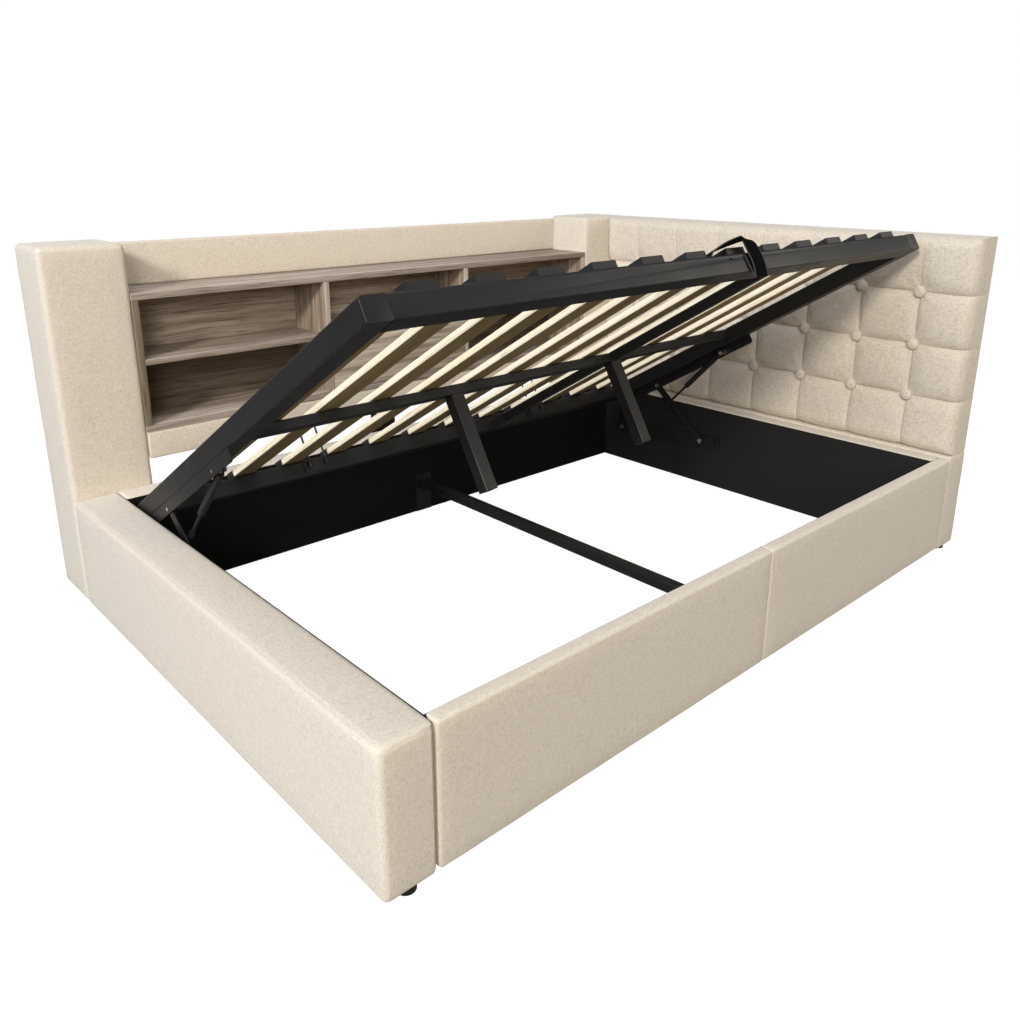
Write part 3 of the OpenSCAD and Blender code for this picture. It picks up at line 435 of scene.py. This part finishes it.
def timber(name, tones, turn, roughness, painted_shade_below=None):
    """tones are those of the wood, its streaks and its pores. The last argument, if given, is
    (height, tone): below that height the board is darker, a painted shade."""
    light, dark, pore = (colour(*tone) for tone in tones)
    material, tree, shader = new_material(name, roughness)
    grain = place_group(tree, timber_streaks, object_vector(tree, turn))
    streak = ramp(tree, grain.outputs["Streak"], 0.34, 0.64)
    tone = mixed(tree, streak, light, dark)
    patch = ramp(tree, grain.outputs["Board"], 0.35, 0.65, to_high=0.5)
    tone = mixed(tree, patch, tone, dark)
    pores = math_node(tree, "MULTIPLY", grain.outputs["Pore"], pore_share)
    tone = mixed(tree, pores, tone, pore)
    # Below the given height the tone turns towards a dark one: a painted shade.
    if painted_shade_below:
        height, deep = painted_shade_below
        parts = tree.nodes.new("ShaderNodeSeparateXYZ")
        tree.links.new(object_vector(tree), parts.inputs["Vector"])
        below = ramp(tree, parts.outputs["Z"], height, height - painted_shade_below_fade, to_high=0.7)
        tone = mixed(tree, below, tone, colour(*deep))
    tree.links.new(tone, shader.inputs["Base Color"])
    shader.inputs["Specular IOR Level"].default_value = 0.15
    relief(tree, shader, grain.outputs["Streak"], 0.0004, 0.5)
    return material


level = (0.0, 0.0, 0.0)
upright = (0.0, math.pi / 2, 0.0)
lift_angle = math.radians(31.0)
along_slats = (lift_angle, 0.0, math.pi / 2)

# Level boards take lighter tones than the oak: a painted light on their tops.
level_painted_light_tones = ((228, 215, 199), (142, 126, 110), (82, 69, 57))
oak_tones = ((210, 196, 178), (126, 110, 92), (76, 62, 49))
# The level boards' front bands are darker than their tops: a painted shade.
band_tones = ((180, 168, 155), (132, 119, 106), (86, 74, 63))
upright_band_tones = ((214, 202, 187), (164, 151, 137), (100, 88, 76))
# The left side's front band is darker still: the painted shadow of the post.
painted_shade_band_tones = ((158, 144, 125), (114, 101, 85), (72, 61, 50))
# The slats' faces are darker and their sides paler: partly the veneer, partly painted shade under
# them and painted light on their sides.
pine_tones = ((212, 188, 140), (184, 156, 104), (140, 112, 70))
veneer_and_painted_light_tones = ((253, 245, 222), (244, 231, 198), (214, 192, 148))

# A lighter copy of the oak, with painted light.
oak_level_painted_light = timber("oak_level_painted_light", level_painted_light_tones, level, 0.55)
oak_upright = timber("oak_upright", oak_tones, upright, 0.55)
# The back board is darkened in its lower part with a painted shade.
oak_back = timber("oak_back", oak_tones, level, 0.55, painted_shade_below=(0.64, (50, 36, 22)))
# A darker copy of the band for the level boards, with painted shade.
band_level_painted_shade = timber("oak_band_level", band_tones, level, 0.5)
band_upright = timber("oak_band_upright", upright_band_tones, upright, 0.5)
# A darker copy of the band, painted with the post's shadow.
band_painted_shade = timber("oak_band_shade", painted_shade_band_tones, upright, 0.5)
pine_face = timber("pine_face", pine_tones, along_slats, 0.6)
pine_edge = timber("pine_edge", veneer_and_painted_light_tones, along_slats, 0.6)
print("timbers:", len([m for m in bpy.data.materials if m.name.startswith(("oak", "pine"))]))

# %% [markdown]
# ### Painted steel, plastic, lining and bright steel
# The steel is powder-coated in black, the caps are moulded plastic, the lining boards have a
# black face and the pins are zinc-plated. The back lining takes a darker copy of the lining
# skin, a painted shade, and the drilled hole beside the strap gets a near-black skin that is
# painted shade too. These skins differ in tone, gloss and grain only, so one function makes
# them all. A thin veil of dust keeps large black faces from looking flat.

# %% Skins
def skin(name, base, dust, roughness, size, depth, dust_share=0.3, gloss=0.4, metallic=0.0):
    """size is the scale of the grain and depth its height in metres."""
    material, tree, shader = new_material(name, roughness, metallic)
    grain = place_group(tree, fine_grain, object_vector(tree))
    grain.inputs["Size"].default_value = size
    veil = math_node(tree, "MULTIPLY", grain.outputs["Dust"], dust_share)
    shade = mixed(tree, veil, colour(*base), colour(*dust))
    tree.links.new(shade, shader.inputs["Base Color"])
    rough = ramp(tree, grain.outputs["Dust"], 0.0, 1.0, roughness - 0.06, roughness + 0.1)
    tree.links.new(rough, shader.inputs["Roughness"])
    shader.inputs["Specular IOR Level"].default_value = gloss
    relief(tree, shader, grain.outputs["Height"], depth)
    return material


steel_look = skin("black_powder_coat", (24, 23, 22), (40, 38, 36), 0.48,
    900.0, 0.00006, dust_share=0.2, gloss=0.42)
plastic_look = skin("black_plastic", (27, 27, 27), (40, 40, 40), 0.48,
    1400.0, 0.00004, dust_share=0.2)
lining_look = skin("black_lining", (27, 26, 25), (37, 36, 34), 0.75,
    500.0, 0.0002, gloss=0.3)
# A near-black skin for the hole beside the strap: its colour is painted shade.
hole_shade_look = skin("painted_hole_shade", (7, 7, 7), (16, 16, 16), 0.85,
    1400.0, 0.0001, dust_share=0.2)
# A darker copy of the lining for the back lining: a painted shade.
painted_shade_lining_look = skin("painted_shade_lining", (13, 13, 13), (22, 22, 21), 0.85,
    500.0, 0.0002, gloss=0.2)
zinc_look = skin("bright_zinc", (205, 206, 208), (170, 171, 172), 0.25,
    700.0, 0.0001, gloss=0.5, metallic=0.9)
print("skins:", steel_look.name, plastic_look.name, lining_look.name, zinc_look.name)

# %% [markdown]
# ### Webbing
# The webbing is woven in fine ribs across its width, and thin pale lines along both edges
# are a painted highlight. Its pattern follows the strap's own UV map: U runs along it and V
# across it, both in metres.

# %% Webbing
rib_scale = 130.0
cord_scale = 95.0
# Where the painted highlight along the edges begins and ends, off the strap's middle.
painted_edge_highlight_from, painted_edge_highlight_to = 0.0205, 0.0225


def bands(tree, vector, direction):
    node = tree.nodes.new("ShaderNodeTexWave")
    node.wave_type = "BANDS"
    node.bands_direction = direction
    node.inputs["Scale"].default_value = 1.0
    tree.links.new(vector, node.inputs["Vector"])
    return node.outputs["Fac"]


webbing_look, tree, shader = new_material("black_webbing", 0.9)
strap_uv = tree.nodes.new("ShaderNodeUVMap")
strap_uv.uv_map = "strap"
vector = strap_uv.outputs["UV"]
ribs = bands(tree, scaled(tree, vector, (rib_scale, 1.0, 1.0)), "X")
cords = bands(tree, scaled(tree, vector, (1.0, cord_scale, 1.0)), "Y")
weave = math_node(tree, "MULTIPLY", ribs, cords)
across = tree.nodes.new("ShaderNodeSeparateXYZ")
tree.links.new(vector, across.inputs["Vector"])
off_middle = math_node(tree, "ABSOLUTE", across.outputs["Y"])
# Pale lines along both edges of the strap: a painted highlight.
painted_edge_highlight = ramp(tree, off_middle, painted_edge_highlight_from, painted_edge_highlight_to, to_high=0.7)
cloth_tone = mixed(tree, weave, colour(4, 4, 5), colour(15, 15, 16))
shade = mixed(tree, painted_edge_highlight, cloth_tone, colour(78, 82, 84))
tree.links.new(shade, shader.inputs["Base Color"])
shader.inputs["Specular IOR Level"].default_value = 0.06
relief(tree, shader, weave, 0.0005)
print("material:", webbing_look.name)


# %% [markdown]
# ## Helpers for shapes
# A new piece is made in a bmesh, turned into a mesh and hung on the body it rides on, and
# the CAD nodes it stands for are hidden. Its sharp edges are marked from their angle, so flat
# faces stay flat and rounded ones look round.

# %% Finish a new piece
def finish_piece(name, bm, material, body, nodes=(), angle=35.0):
    bmesh.ops.recalc_face_normals(bm, faces=bm.faces[:])
    mesh = bpy.data.meshes.new(name)
    bm.to_mesh(mesh)
    bm.free()
    mesh.materials.append(material)
    mesh.shade_smooth()
    mesh.set_sharp_from_angle(angle=math.radians(angle))
    piece = bpy.data.objects.new(name, mesh)
    bpy.context.collection.objects.link(piece)
    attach(piece, body)
    if nodes:
        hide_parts(*nodes)
    return piece


print("helper for new pieces is ready")


# %% Box, rounded edges and cuts
def block(low, high):
    """A bmesh of a plain box between two corners."""
    bm = bmesh.new()
    bmesh.ops.create_cube(bm, size=1.0)
    size = Vector(high) - Vector(low)
    bmesh.ops.scale(bm, vec=size, verts=bm.verts[:])
    bmesh.ops.translate(bm, vec=(Vector(high) + Vector(low)) / 2, verts=bm.verts[:])
    return bm


def round_edges(bm, edges, radius, segments, clamp=False):
    bmesh.ops.bevel(bm, geom=edges, offset=radius, segments=segments, profile=0.5,
        affect="EDGES", material=-1, offset_type="OFFSET", clamp_overlap=clamp)


def slice_at(bm, axis, places):
    """Cuts the mesh through with planes square to an axis, to give it more points."""
    direction = Vector((0.0, 0.0, 0.0))
    direction[axis] = 1.0
    for place in places:
        parts = bm.verts[:] + bm.edges[:] + bm.faces[:]
        bmesh.ops.bisect_plane(bm, geom=parts, plane_co=direction * place,
            plane_no=direction, dist=1e-6)


def even_places(low, high, step):
    count = max(1, round((high - low) / step))
    return [low + (high - low) * k / count for k in range(1, count)]


print("cuts through a metre:", even_places(0.0, 1.0, 0.25))

# %% [markdown]
# ## Linen boards
# On the real bed these are timber boards under a thin layer of foam, with linen pulled over
# the edges. A plain box would look hard, and a cloth simulation would add little on so thin a
# foam. So each board starts as a box, gets broad rounded edges, and is cut into small fields.
# Then its free faces swell by a millimetre or two and its edges wander slightly, as pulled
# fabric does. Faces that lie against a neighbour stay flat. Where a black lining board stands
# against the inner face, that face is set back below a narrow strip of linen at its top.

# %% Build one upholstered board
field_size = 0.03
swell_reach = 0.06
lining_step = 0.0006
lining_gap = 0.0036


def fabric_wave(point):
    """Slow and quick waves of the cloth, less than a millimetre high."""
    return noise.noise(point * 11.0) * 0.0007 + noise.noise(point * 34.0) * 0.0003


def upholstered(name, radius, crown, free, lining=None):
    """free lists the faces that may swell, such as -y or +z. lining is (axis, side, drop):
    the face that a black lining board lies in, set back below its top edge."""
    low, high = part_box(name)
    bm = block(low, high)
    round_edges(bm, bm.edges[:], radius, 5)
    for axis in range(3):
        if high[axis] - low[axis] > 4 * radius:
            slice_at(bm, axis, even_places(low[axis] + radius, high[axis] - radius, field_size))
    if lining:
        lining_axis, side, drop = lining
        top = high[2] - drop
        slice_at(bm, 2, [top, top + lining_step])
    bm.normal_update()
    moves = []
    for vert in bm.verts:
        swell = 1.0
        for axis in range(3):
            edge = min(vert.co[axis] - low[axis], high[axis] - vert.co[axis])
            if abs(vert.normal[axis]) < 0.7:
                swell *= min(1.0, max(0.0, edge / swell_reach)) ** 0.5
        rise = crown * swell + fabric_wave(vert.co)
        move = Vector((0.0, 0.0, 0.0))
        for face in free:
            axis = "xyz".index(face[1])
            sign = 1.0 if face[0] == "+" else -1.0
            if vert.normal[axis] * sign > 0.2:
                move[axis] += rise * vert.normal[axis]
        moves.append((vert, move))
    for vert, move in moves:
        vert.co += move
    if lining:
        face_place = high[lining_axis] if side > 0 else low[lining_axis]
        for vert in bm.verts:
            if vert.co[2] <= top + 1e-5 and abs(vert.co[lining_axis] - face_place) < radius:
                vert.co[lining_axis] -= side * lining_gap
    piece = finish_piece("linen_" + name, bm, linen_look, "base", [name])


print("swelling fades over the last", swell_reach, "m before an edge")

# %% Make the boards
lining_drop = 0.004
upholstered("left_board", 0.013, 0.0018, ("-x", "-y", "+z"), lining=(0, 1, lining_drop))
upholstered("front_rail_left", 0.0075, 0.0015, ("-y", "+z"), lining=(1, 1, lining_drop))
upholstered("front_rail_right", 0.0075, 0.0015, ("-y", "+z"), lining=(1, 1, lining_drop))
upholstered("right_board", 0.006, 0.0018, ("+x", "-y"))
upholstered("end_rail", 0.004, 0.0008, ("+z",), lining=(0, -1, lining_drop))
upholstered("back_rail", 0.0065, 0.0008, ("+z",), lining=(1, -1, lining_drop))
upholstered("left_post", 0.014, 0.0022, ("-x", "+y", "-y", "+x", "+z"))
upholstered("right_post", 0.014, 0.0022, ("+x", "+y", "-y", "-x", "+z"))
upholstered("top_panel", 0.006, 0.0012, ("-y", "+y", "+z"))
upholstered("lower_panel", 0.006, 0.0012, ("-y",))

# %% [markdown]
# ## Tufted headboard
# The headboard is a thick foam pad. Vertical and horizontal seams pull it in, and a covered
# button is sunk at each crossing, so that the face swells into rows of pillows with rounded
# corners. It could be sculpted or simulated, but its seams are regular, so a formula for the
# depth of each point is enough. It starts as a box with a wide roll at its front edges. It is
# cut along lines that lie close together at the seams. Each point is then pushed in by how
# near it is to a seam.

# %% Lay out the seams
head_low, head_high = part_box("headboard")
head_middle_y = (head_low[1] + head_high[1]) / 2
head_middle_z = (head_low[2] + head_high[2]) / 2
pitch_y = 0.1773
pitch_z = 0.1545
seam_y = [head_middle_y + k * pitch_y for k in range(-3, 4)]
seam_z = [head_middle_z + k * pitch_z for k in range(-1, 2)]
print("seams:", len(seam_y), "upright,", len(seam_z), "level")

# %% Places of the cuts
beside_seam = (0.0, 0.0015, 0.004, 0.0075, 0.0115, 0.016, 0.021,
    0.027, 0.034, 0.043, 0.054, 0.066, 0.078)
border = 0.08
border_step = 0.02


def seam_lines(seams, low, high):
    """Places of the cuts: close together beside a seam, wider apart on the pillows."""
    pitch = seams[1] - seams[0]
    lines = set(even_places(low, seams[0] - border, border_step)
        + even_places(seams[-1] + border, high, border_step))
    for seam in seams:
        for step in beside_seam:
            if step < pitch / 2:
                lines.update((round(seam - step, 5), round(seam + step, 5)))
    return sorted(place for place in lines if low < place < high)


print("cuts across the width:", len(seam_lines(seam_y, head_low[1], head_high[1])))

# %% Form of the pillows
seam_reach = 0.034
pinch_reach = 0.04
roundness = 1.7


def nearest(value, seams):
    return min(abs(value - seam) for seam in seams)


def rounded(distance, reach):
    """Rise from 0 on a seam to 1 at the given distance, as a quarter circle."""
    return math.sqrt(1.0 - (1.0 - min(1.0, distance / reach)) ** 2)


def held(rest, distance, reach):
    """How firmly an upright seam holds beyond the last button: it fades from 1 to rest."""
    return rest + (1.0 - rest) * math.exp(-distance / reach)


def pillow(y, z):
    """Height of the face over its seams, from 0 at a button to 1 on a pillow."""
    off_y = nearest(y, seam_y)
    off_z = nearest(z, seam_z)
    hold_y = 1.0
    if z > seam_z[-1]:
        hold_y = held(0.12, z - seam_z[-1], 0.04)
    elif z < seam_z[0]:
        hold_y = held(0.5, seam_z[0] - z, 0.05)
    hold_z = 1.0 if seam_y[0] < y < seam_y[-1] else 0.8
    cut_y = hold_y * (1.0 - rounded(off_y, seam_reach))
    cut_z = hold_z * (1.0 - rounded(off_z, seam_reach))
    cut = (cut_y ** roundness + cut_z ** roundness) ** (1.0 / roundness)
    seam = 1.0 - min(1.0, cut)
    dome_y = 1.0 - hold_y * max(0.0, 1.0 - 2.0 * off_y / pitch_y) ** 2
    dome_z = 1.0 - hold_z * max(0.0, 1.0 - 2.0 * off_z / pitch_z) ** 2
    pinch = math.exp(-(math.hypot(off_y, off_z) / pinch_reach) ** 2)
    return max(0.0, 0.6 * seam + 0.4 * dome_y * dome_z - 0.4 * pinch * seam)


middle_height = pillow(seam_y[0] + pitch_y / 2, seam_z[0] + pitch_z / 2)
print("height in the middle of a pillow:", round(middle_height, 2))

# %% Form of the pleats
pleat_from, pleat_to = 0.012, 0.07
pleat_count = 9
pleat_height = 0.0011


def pleats(y, z):
    """Small folds that run out from the nearest button."""
    seat_y = min(seam_y, key=lambda seam: abs(seam - y))
    seat_z = min(seam_z, key=lambda seam: abs(seam - z))
    reach = math.hypot(y - seat_y, z - seat_z)
    if not pleat_from < reach < pleat_to:
        return 0.0
    turn = math.atan2(z - seat_z, y - seat_y)
    start = 6.0 * noise.noise(Vector((seat_y * 9.0, seat_z * 9.0, 0.0)))
    part = (reach - pleat_from) / (pleat_to - pleat_from)
    return pleat_height * math.cos(pleat_count * turn + start) * math.sin(math.pi * part)


print("pleats round a button:", pleat_count)

# %% Build the headboard
front_roll = 0.036
back_round = 0.008
cut_margin = 0.002
side_step = 0.012
flat_back = 0.012
fade_reach = 0.07
tuft_depth = 0.021
side_depth = 0.008
wave_height = 0.0009
face_depth = 0.0008


def edges_at(bm, x):
    """The edges that lie in the plane at x."""
    return [e for e in bm.edges if all(abs(v.co.x - x) < 1e-6 for v in e.verts)]


bm = block(head_low, head_high)
round_edges(bm, edges_at(bm, head_low[0]), front_roll, 9)
round_edges(bm, edges_at(bm, head_high[0]), back_round, 3)
slice_at(bm, 1, seam_lines(seam_y, head_low[1] + cut_margin, head_high[1] - cut_margin))
slice_at(bm, 2, seam_lines(seam_z, head_low[2] + cut_margin, head_high[2] - cut_margin))
slice_at(bm, 0, even_places(head_low[0] + front_roll, head_high[0] - back_round, side_step))
bm.normal_update()
moves = []
for vert in bm.verts:
    off_back = head_high[0] - flat_back - vert.co.x
    if off_back < 0.0:
        continue
    fade = min(1.0, off_back / fade_reach)
    face = max(0.0, -vert.normal.x)
    depth = (tuft_depth * face + side_depth * (1.0 - face)) * fade
    folds = pleats(vert.co.y, vert.co.z) + wave_height * noise.noise(vert.co * 13.0)
    sunk = depth * (1.0 - pillow(vert.co.y, vert.co.z)) + (folds + face_depth) * face
    moves.append((vert, -vert.normal * max(0.0, sunk)))
for vert, move in moves:
    vert.co += move
headboard = finish_piece("linen_headboard", bm, slub_linen_look, "base",
    ["headboard"], 60.0)
print("headboard faces:", len(headboard.data.polygons))

# %% [markdown]
# ## Covered buttons
# A covered button is a metal dome with linen pulled tight over it and tucked in behind. The
# outline of half a dome is spun round its axis, which keeps all 21 buttons alike.

# %% Spin the buttons
button_lift = 0.002
button_outline = [(0.0, 0.0), (0.010, 0.0), (0.0125, 0.0022), (0.0152, 0.0042),
    (0.0172, 0.0068), (0.0178, 0.0092), (0.0170, 0.0121), (0.0148, 0.0147),
    (0.0112, 0.0166), (0.0062, 0.0178), (0.0, 0.0182)]


def spin_outline(bm, outline, seat, axis, side, steps):
    """outline lists (radius, height). The height counts against the axis, away from seat."""
    points = [bm.verts.new(seat + side * r - axis * h) for r, h in outline]
    path = [bm.edges.new(pair) for pair in zip(points, points[1:])]
    bmesh.ops.spin(bm, geom=points + path, cent=seat, axis=axis,
        angle=2 * math.pi, steps=steps, use_merge=True)


_, button_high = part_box("headboard_buttons")
to_the_back, to_the_side = Vector((1.0, 0.0, 0.0)), Vector((0.0, 1.0, 0.0))
buttons = bmesh.new()
for seat_y in seam_y:
    for seat_z in seam_z:
        seat = Vector((button_high[0] + button_lift, seat_y, seat_z))
        spin_outline(buttons, button_outline, seat, to_the_back, to_the_side, 28)
bmesh.ops.remove_doubles(buttons, verts=buttons.verts[:], dist=1e-6)
button_piece = finish_piece("linen_buttons", buttons, slub_linen_look, "base",
    ["headboard_buttons"], 50.0)
print("button faces:", len(button_piece.data.polygons))

# %% [markdown]
# ## Oak bookcase and pine slats
# These boards are right as solids, but a real board never has a razor-sharp edge. A copy of
# each CAD mesh is merged into clean faces, and its edges get a tiny bevel that catches the light.
# The bookcase boards have a band of calmer grain glued over their front edge, whose darker
# tones on the level boards and on the left side are painted shade. The slats are layers of
# veneer, and their sides get a paler material of their own: partly the veneer's edge, partly
# painted light. Their darker faces carry painted shade on the undersides.
# The front tube and the tube caps lie close to the camera and get softened edges too.

# %% Copy a CAD node with softened edges
def softened(node, material, body, radius, segments=2, side=None):
    """side is (axis, material) for the faces that look along that axis."""
    bm = bmesh.new()
    bm.from_mesh(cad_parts[node].data)
    bmesh.ops.remove_doubles(bm, verts=bm.verts[:], dist=1e-6)
    bmesh.ops.dissolve_limit(bm, angle_limit=math.radians(1.0),
        verts=bm.verts[:], edges=bm.edges[:])
    sharp = [e for e in bm.edges
        if len(e.link_faces) == 2 and e.calc_face_angle() > math.radians(60)]
    round_edges(bm, sharp, radius, segments, clamp=True)
    piece = finish_piece("finished_" + node, bm, material, body, [node])
    if side:
        axis, side_material = side
        piece.data.materials.append(side_material)
        for face in piece.data.polygons:
            if abs(face.normal[axis]) > 0.7:
                face.material_index = 1


# The level boards take the lighter oak, whose paler tone is painted light.
for node in ("case_top", "case_bottom", "case_shelves"):
    softened(node, oak_level_painted_light, "base", 0.0008, side=(1, band_level_painted_shade))
for node in ("case_right_side", "case_dividers"):
    softened(node, oak_upright, "base", 0.0008, side=(1, band_upright))
# The left side's front band carries the painted shadow of the post.
softened("case_left_side", oak_upright, "base", 0.0008, side=(1, band_painted_shade))
# The back board's darker lower part is a painted shade.
softened("case_back", oak_back, "base", 0.0008)
# The drawer takes the same lighter oak, with its painted light.
softened("drawer_front", oak_level_painted_light, "drawer", 0.0012)
softened("drawer_box", oak_level_painted_light, "drawer", 0.0008)
# The slats' paler sides are partly the veneer's edge, partly painted light.
softened("slats", pine_face, "platform", 0.0006, 1, side=(0, pine_edge))
softened("tube_caps", steel_look, "platform", 0.002, 3)
softened("front_tube", steel_look, "platform", 0.0012)

# %% [markdown]
# ## Steel, plastic and lining
# The other tubes and caps, the arms, struts, pins and linings keep their CAD meshes, so only
# their materials change.

# %% Finish the CAD parts that stay
def repaint(nodes, material):
    for node in nodes:
        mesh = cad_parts[node].data
        mesh.materials.clear()
        mesh.materials.append(material)


repaint(("rear_tube", "left_tube", "right_tube", "cross_bar", "mid_bar",
    "support_legs", "mattress_stops", "stop_brackets", "left_hanger", "right_hanger",
    "base_plate_left", "base_plate_right", "front_arm_left", "front_arm_right",
    "rear_arm_left", "rear_arm_right", "strut_cylinder_left", "strut_cylinder_right",
    "centre_beam", "beam_brackets", "strut_rod_left", "strut_rod_right", "base_bolts"), steel_look)
repaint(("base_pins", "hanger_pins"), zinc_look)
repaint(("lining_left", "lining_front", "lining_right"), lining_look)
# The back lining is darker than the others: a painted shade.
repaint(("lining_back",), painted_shade_lining_look)
repaint(("leg_caps", "slat_holders", "feet", "case_leg"), plastic_look)
print("CAD parts finished")

# %% [markdown]
# ## Lifting strap
# The strap is one length of webbing. It is sewn to the top of the front tube, rises in a
# loop, comes down in front of the tube and is folded back behind itself. Its width turns as it
# goes. A few points of its route were read from the photograph, along the raised platform's own
# directions. The platform's front corner is given as in the CAD source, in millimetres from the
# bed's front and from the top of its feet.

# %% Directions on the raised platform
half_depth = 783.75
foot_height = 10.0
corner_y, corner_z = 174.942, 936.845
platform_corner = Vector((0.0, (corner_y - half_depth) / 1000.0, (corner_z + foot_height) / 1000.0))
along_slope = Vector((0.0, math.cos(lift_angle), -math.sin(lift_angle)))
off_slope = Vector((0.0, math.sin(lift_angle), math.cos(lift_angle)))
frame_middle_x = -0.0195


def on_platform(x, s, h):
    """A point given in millimetres on the raised platform, in metres on the bed."""
    return (Vector((frame_middle_x + x / 1000.0, 0.0, 0.0)) + platform_corner
        + along_slope * (s / 1000.0) + off_slope * (h / 1000.0))


print("front corner of the platform:", [round(part, 3) for part in platform_corner])

# %% [markdown]
# ### Route of the strap
# Each point of the route lists its place along the tube, down the slope and off the slope in
# millimetres, and how far the width has turned there, in degrees. A Catmull-Rom spline draws a
# smooth line through them.

# %% Route of the strap
strap_route = [(-33, 27, 1.6, 0), (-18, 22, 13, 5), (14, 8, 22, 18), (48, -9, 26, 34),
    (77, -14, 28, 56), (97, -10.5, 25.5, 78), (108, -8.4, 11, 90), (113, -8, -28, 90),
    (107, -6.4, -58, 90), (105, -4.4, -64, 90), (104, -2.6, -58, 90), (102, -2, -30, 90),
    (100, -2, -8, 90)]


def smooth_route(points, steps):
    result = []
    last = len(points) - 1
    for k in range(last):
        a, b, c, d = (points[max(k - 1, 0)], points[k], points[k + 1], points[min(k + 2, last)])
        for i in range(steps):
            t = i / steps
            result.append([q + t / 2 * (r - p + t * (2 * p - 5 * q + 4 * r - w
                + t * (3 * (q - r) + w - p))) for p, q, r, w in zip(a, b, c, d)])
    return result + [list(points[last])]


strap_line = smooth_route(strap_route, 6)
print("strap points:", len(strap_line))


# %% Sweep the webbing along the route
def webbing(name, line, width, thickness, nodes):
    """A flat grid is bent along the route, turned with it, and given thickness."""
    count = len(line)
    rows = 6
    bm = bmesh.new()
    layer = bm.loops.layers.uv.new("strap")
    bmesh.ops.create_grid(bm, x_segments=count - 1, y_segments=rows, size=0.5)
    centres = [on_platform(*q[:3]) for q in line]
    lengths = [0.0]
    for a, b in zip(centres, centres[1:]):
        lengths.append(lengths[-1] + (b - a).length)
    place = {}
    for vert in bm.verts:
        k = min(count - 1, max(0, round((vert.co.x + 0.5) * (count - 1))))
        offset = vert.co.y * width
        twist = math.radians(line[k][3])
        wide = Vector((math.sin(twist), 0.0, 0.0)) + along_slope * math.cos(twist)
        place[vert] = (lengths[k], offset)
        vert.co = centres[k] + wide * offset
    for face in bm.faces:
        for loop in face.loops:
            loop[layer].uv = place[loop.vert]
    bmesh.ops.recalc_face_normals(bm, faces=bm.faces[:])
    bmesh.ops.solidify(bm, geom=bm.faces[:], thickness=thickness)
    return finish_piece(name, bm, webbing_look, "platform", nodes, 60.0)


strap = webbing("lifting_strap", strap_line, 0.047, 0.0022, ["lift_strap"])
print("strap faces:", len(strap.data.polygons))

# %% [markdown]
# ## Hole plug
# Beside the strap the front tube has a drilled hole that looks dark. A small plug stands in
# it, and its near-black colour is the painted shade inside the hole. Its outline, a low rim
# round a dished middle, is spun round the hole's axis.

# %% Spin the plug
plug = bmesh.new()
plug_seat = on_platform(28.8, 0.0, -13.7)
plug_outline = [(0.0, 0.0003), (0.0017, 0.0004), (0.0023, 0.0009), (0.0029, 0.0009),
    (0.0033, 0.0004), (0.0033, 0.0)]
spin_outline(plug, plug_outline, plug_seat, along_slope, off_slope, 20)
bmesh.ops.remove_doubles(plug, verts=plug.verts[:], dist=1e-6)
rim = [e for e in plug.edges if e.is_boundary]
bmesh.ops.contextual_create(plug, geom=rim)
# The plug's near-black skin is the painted shade of the hole.
plug_piece = finish_piece("tube_plug", plug, hole_shade_look, "platform")
print("plug faces:", len(plug_piece.data.polygons))
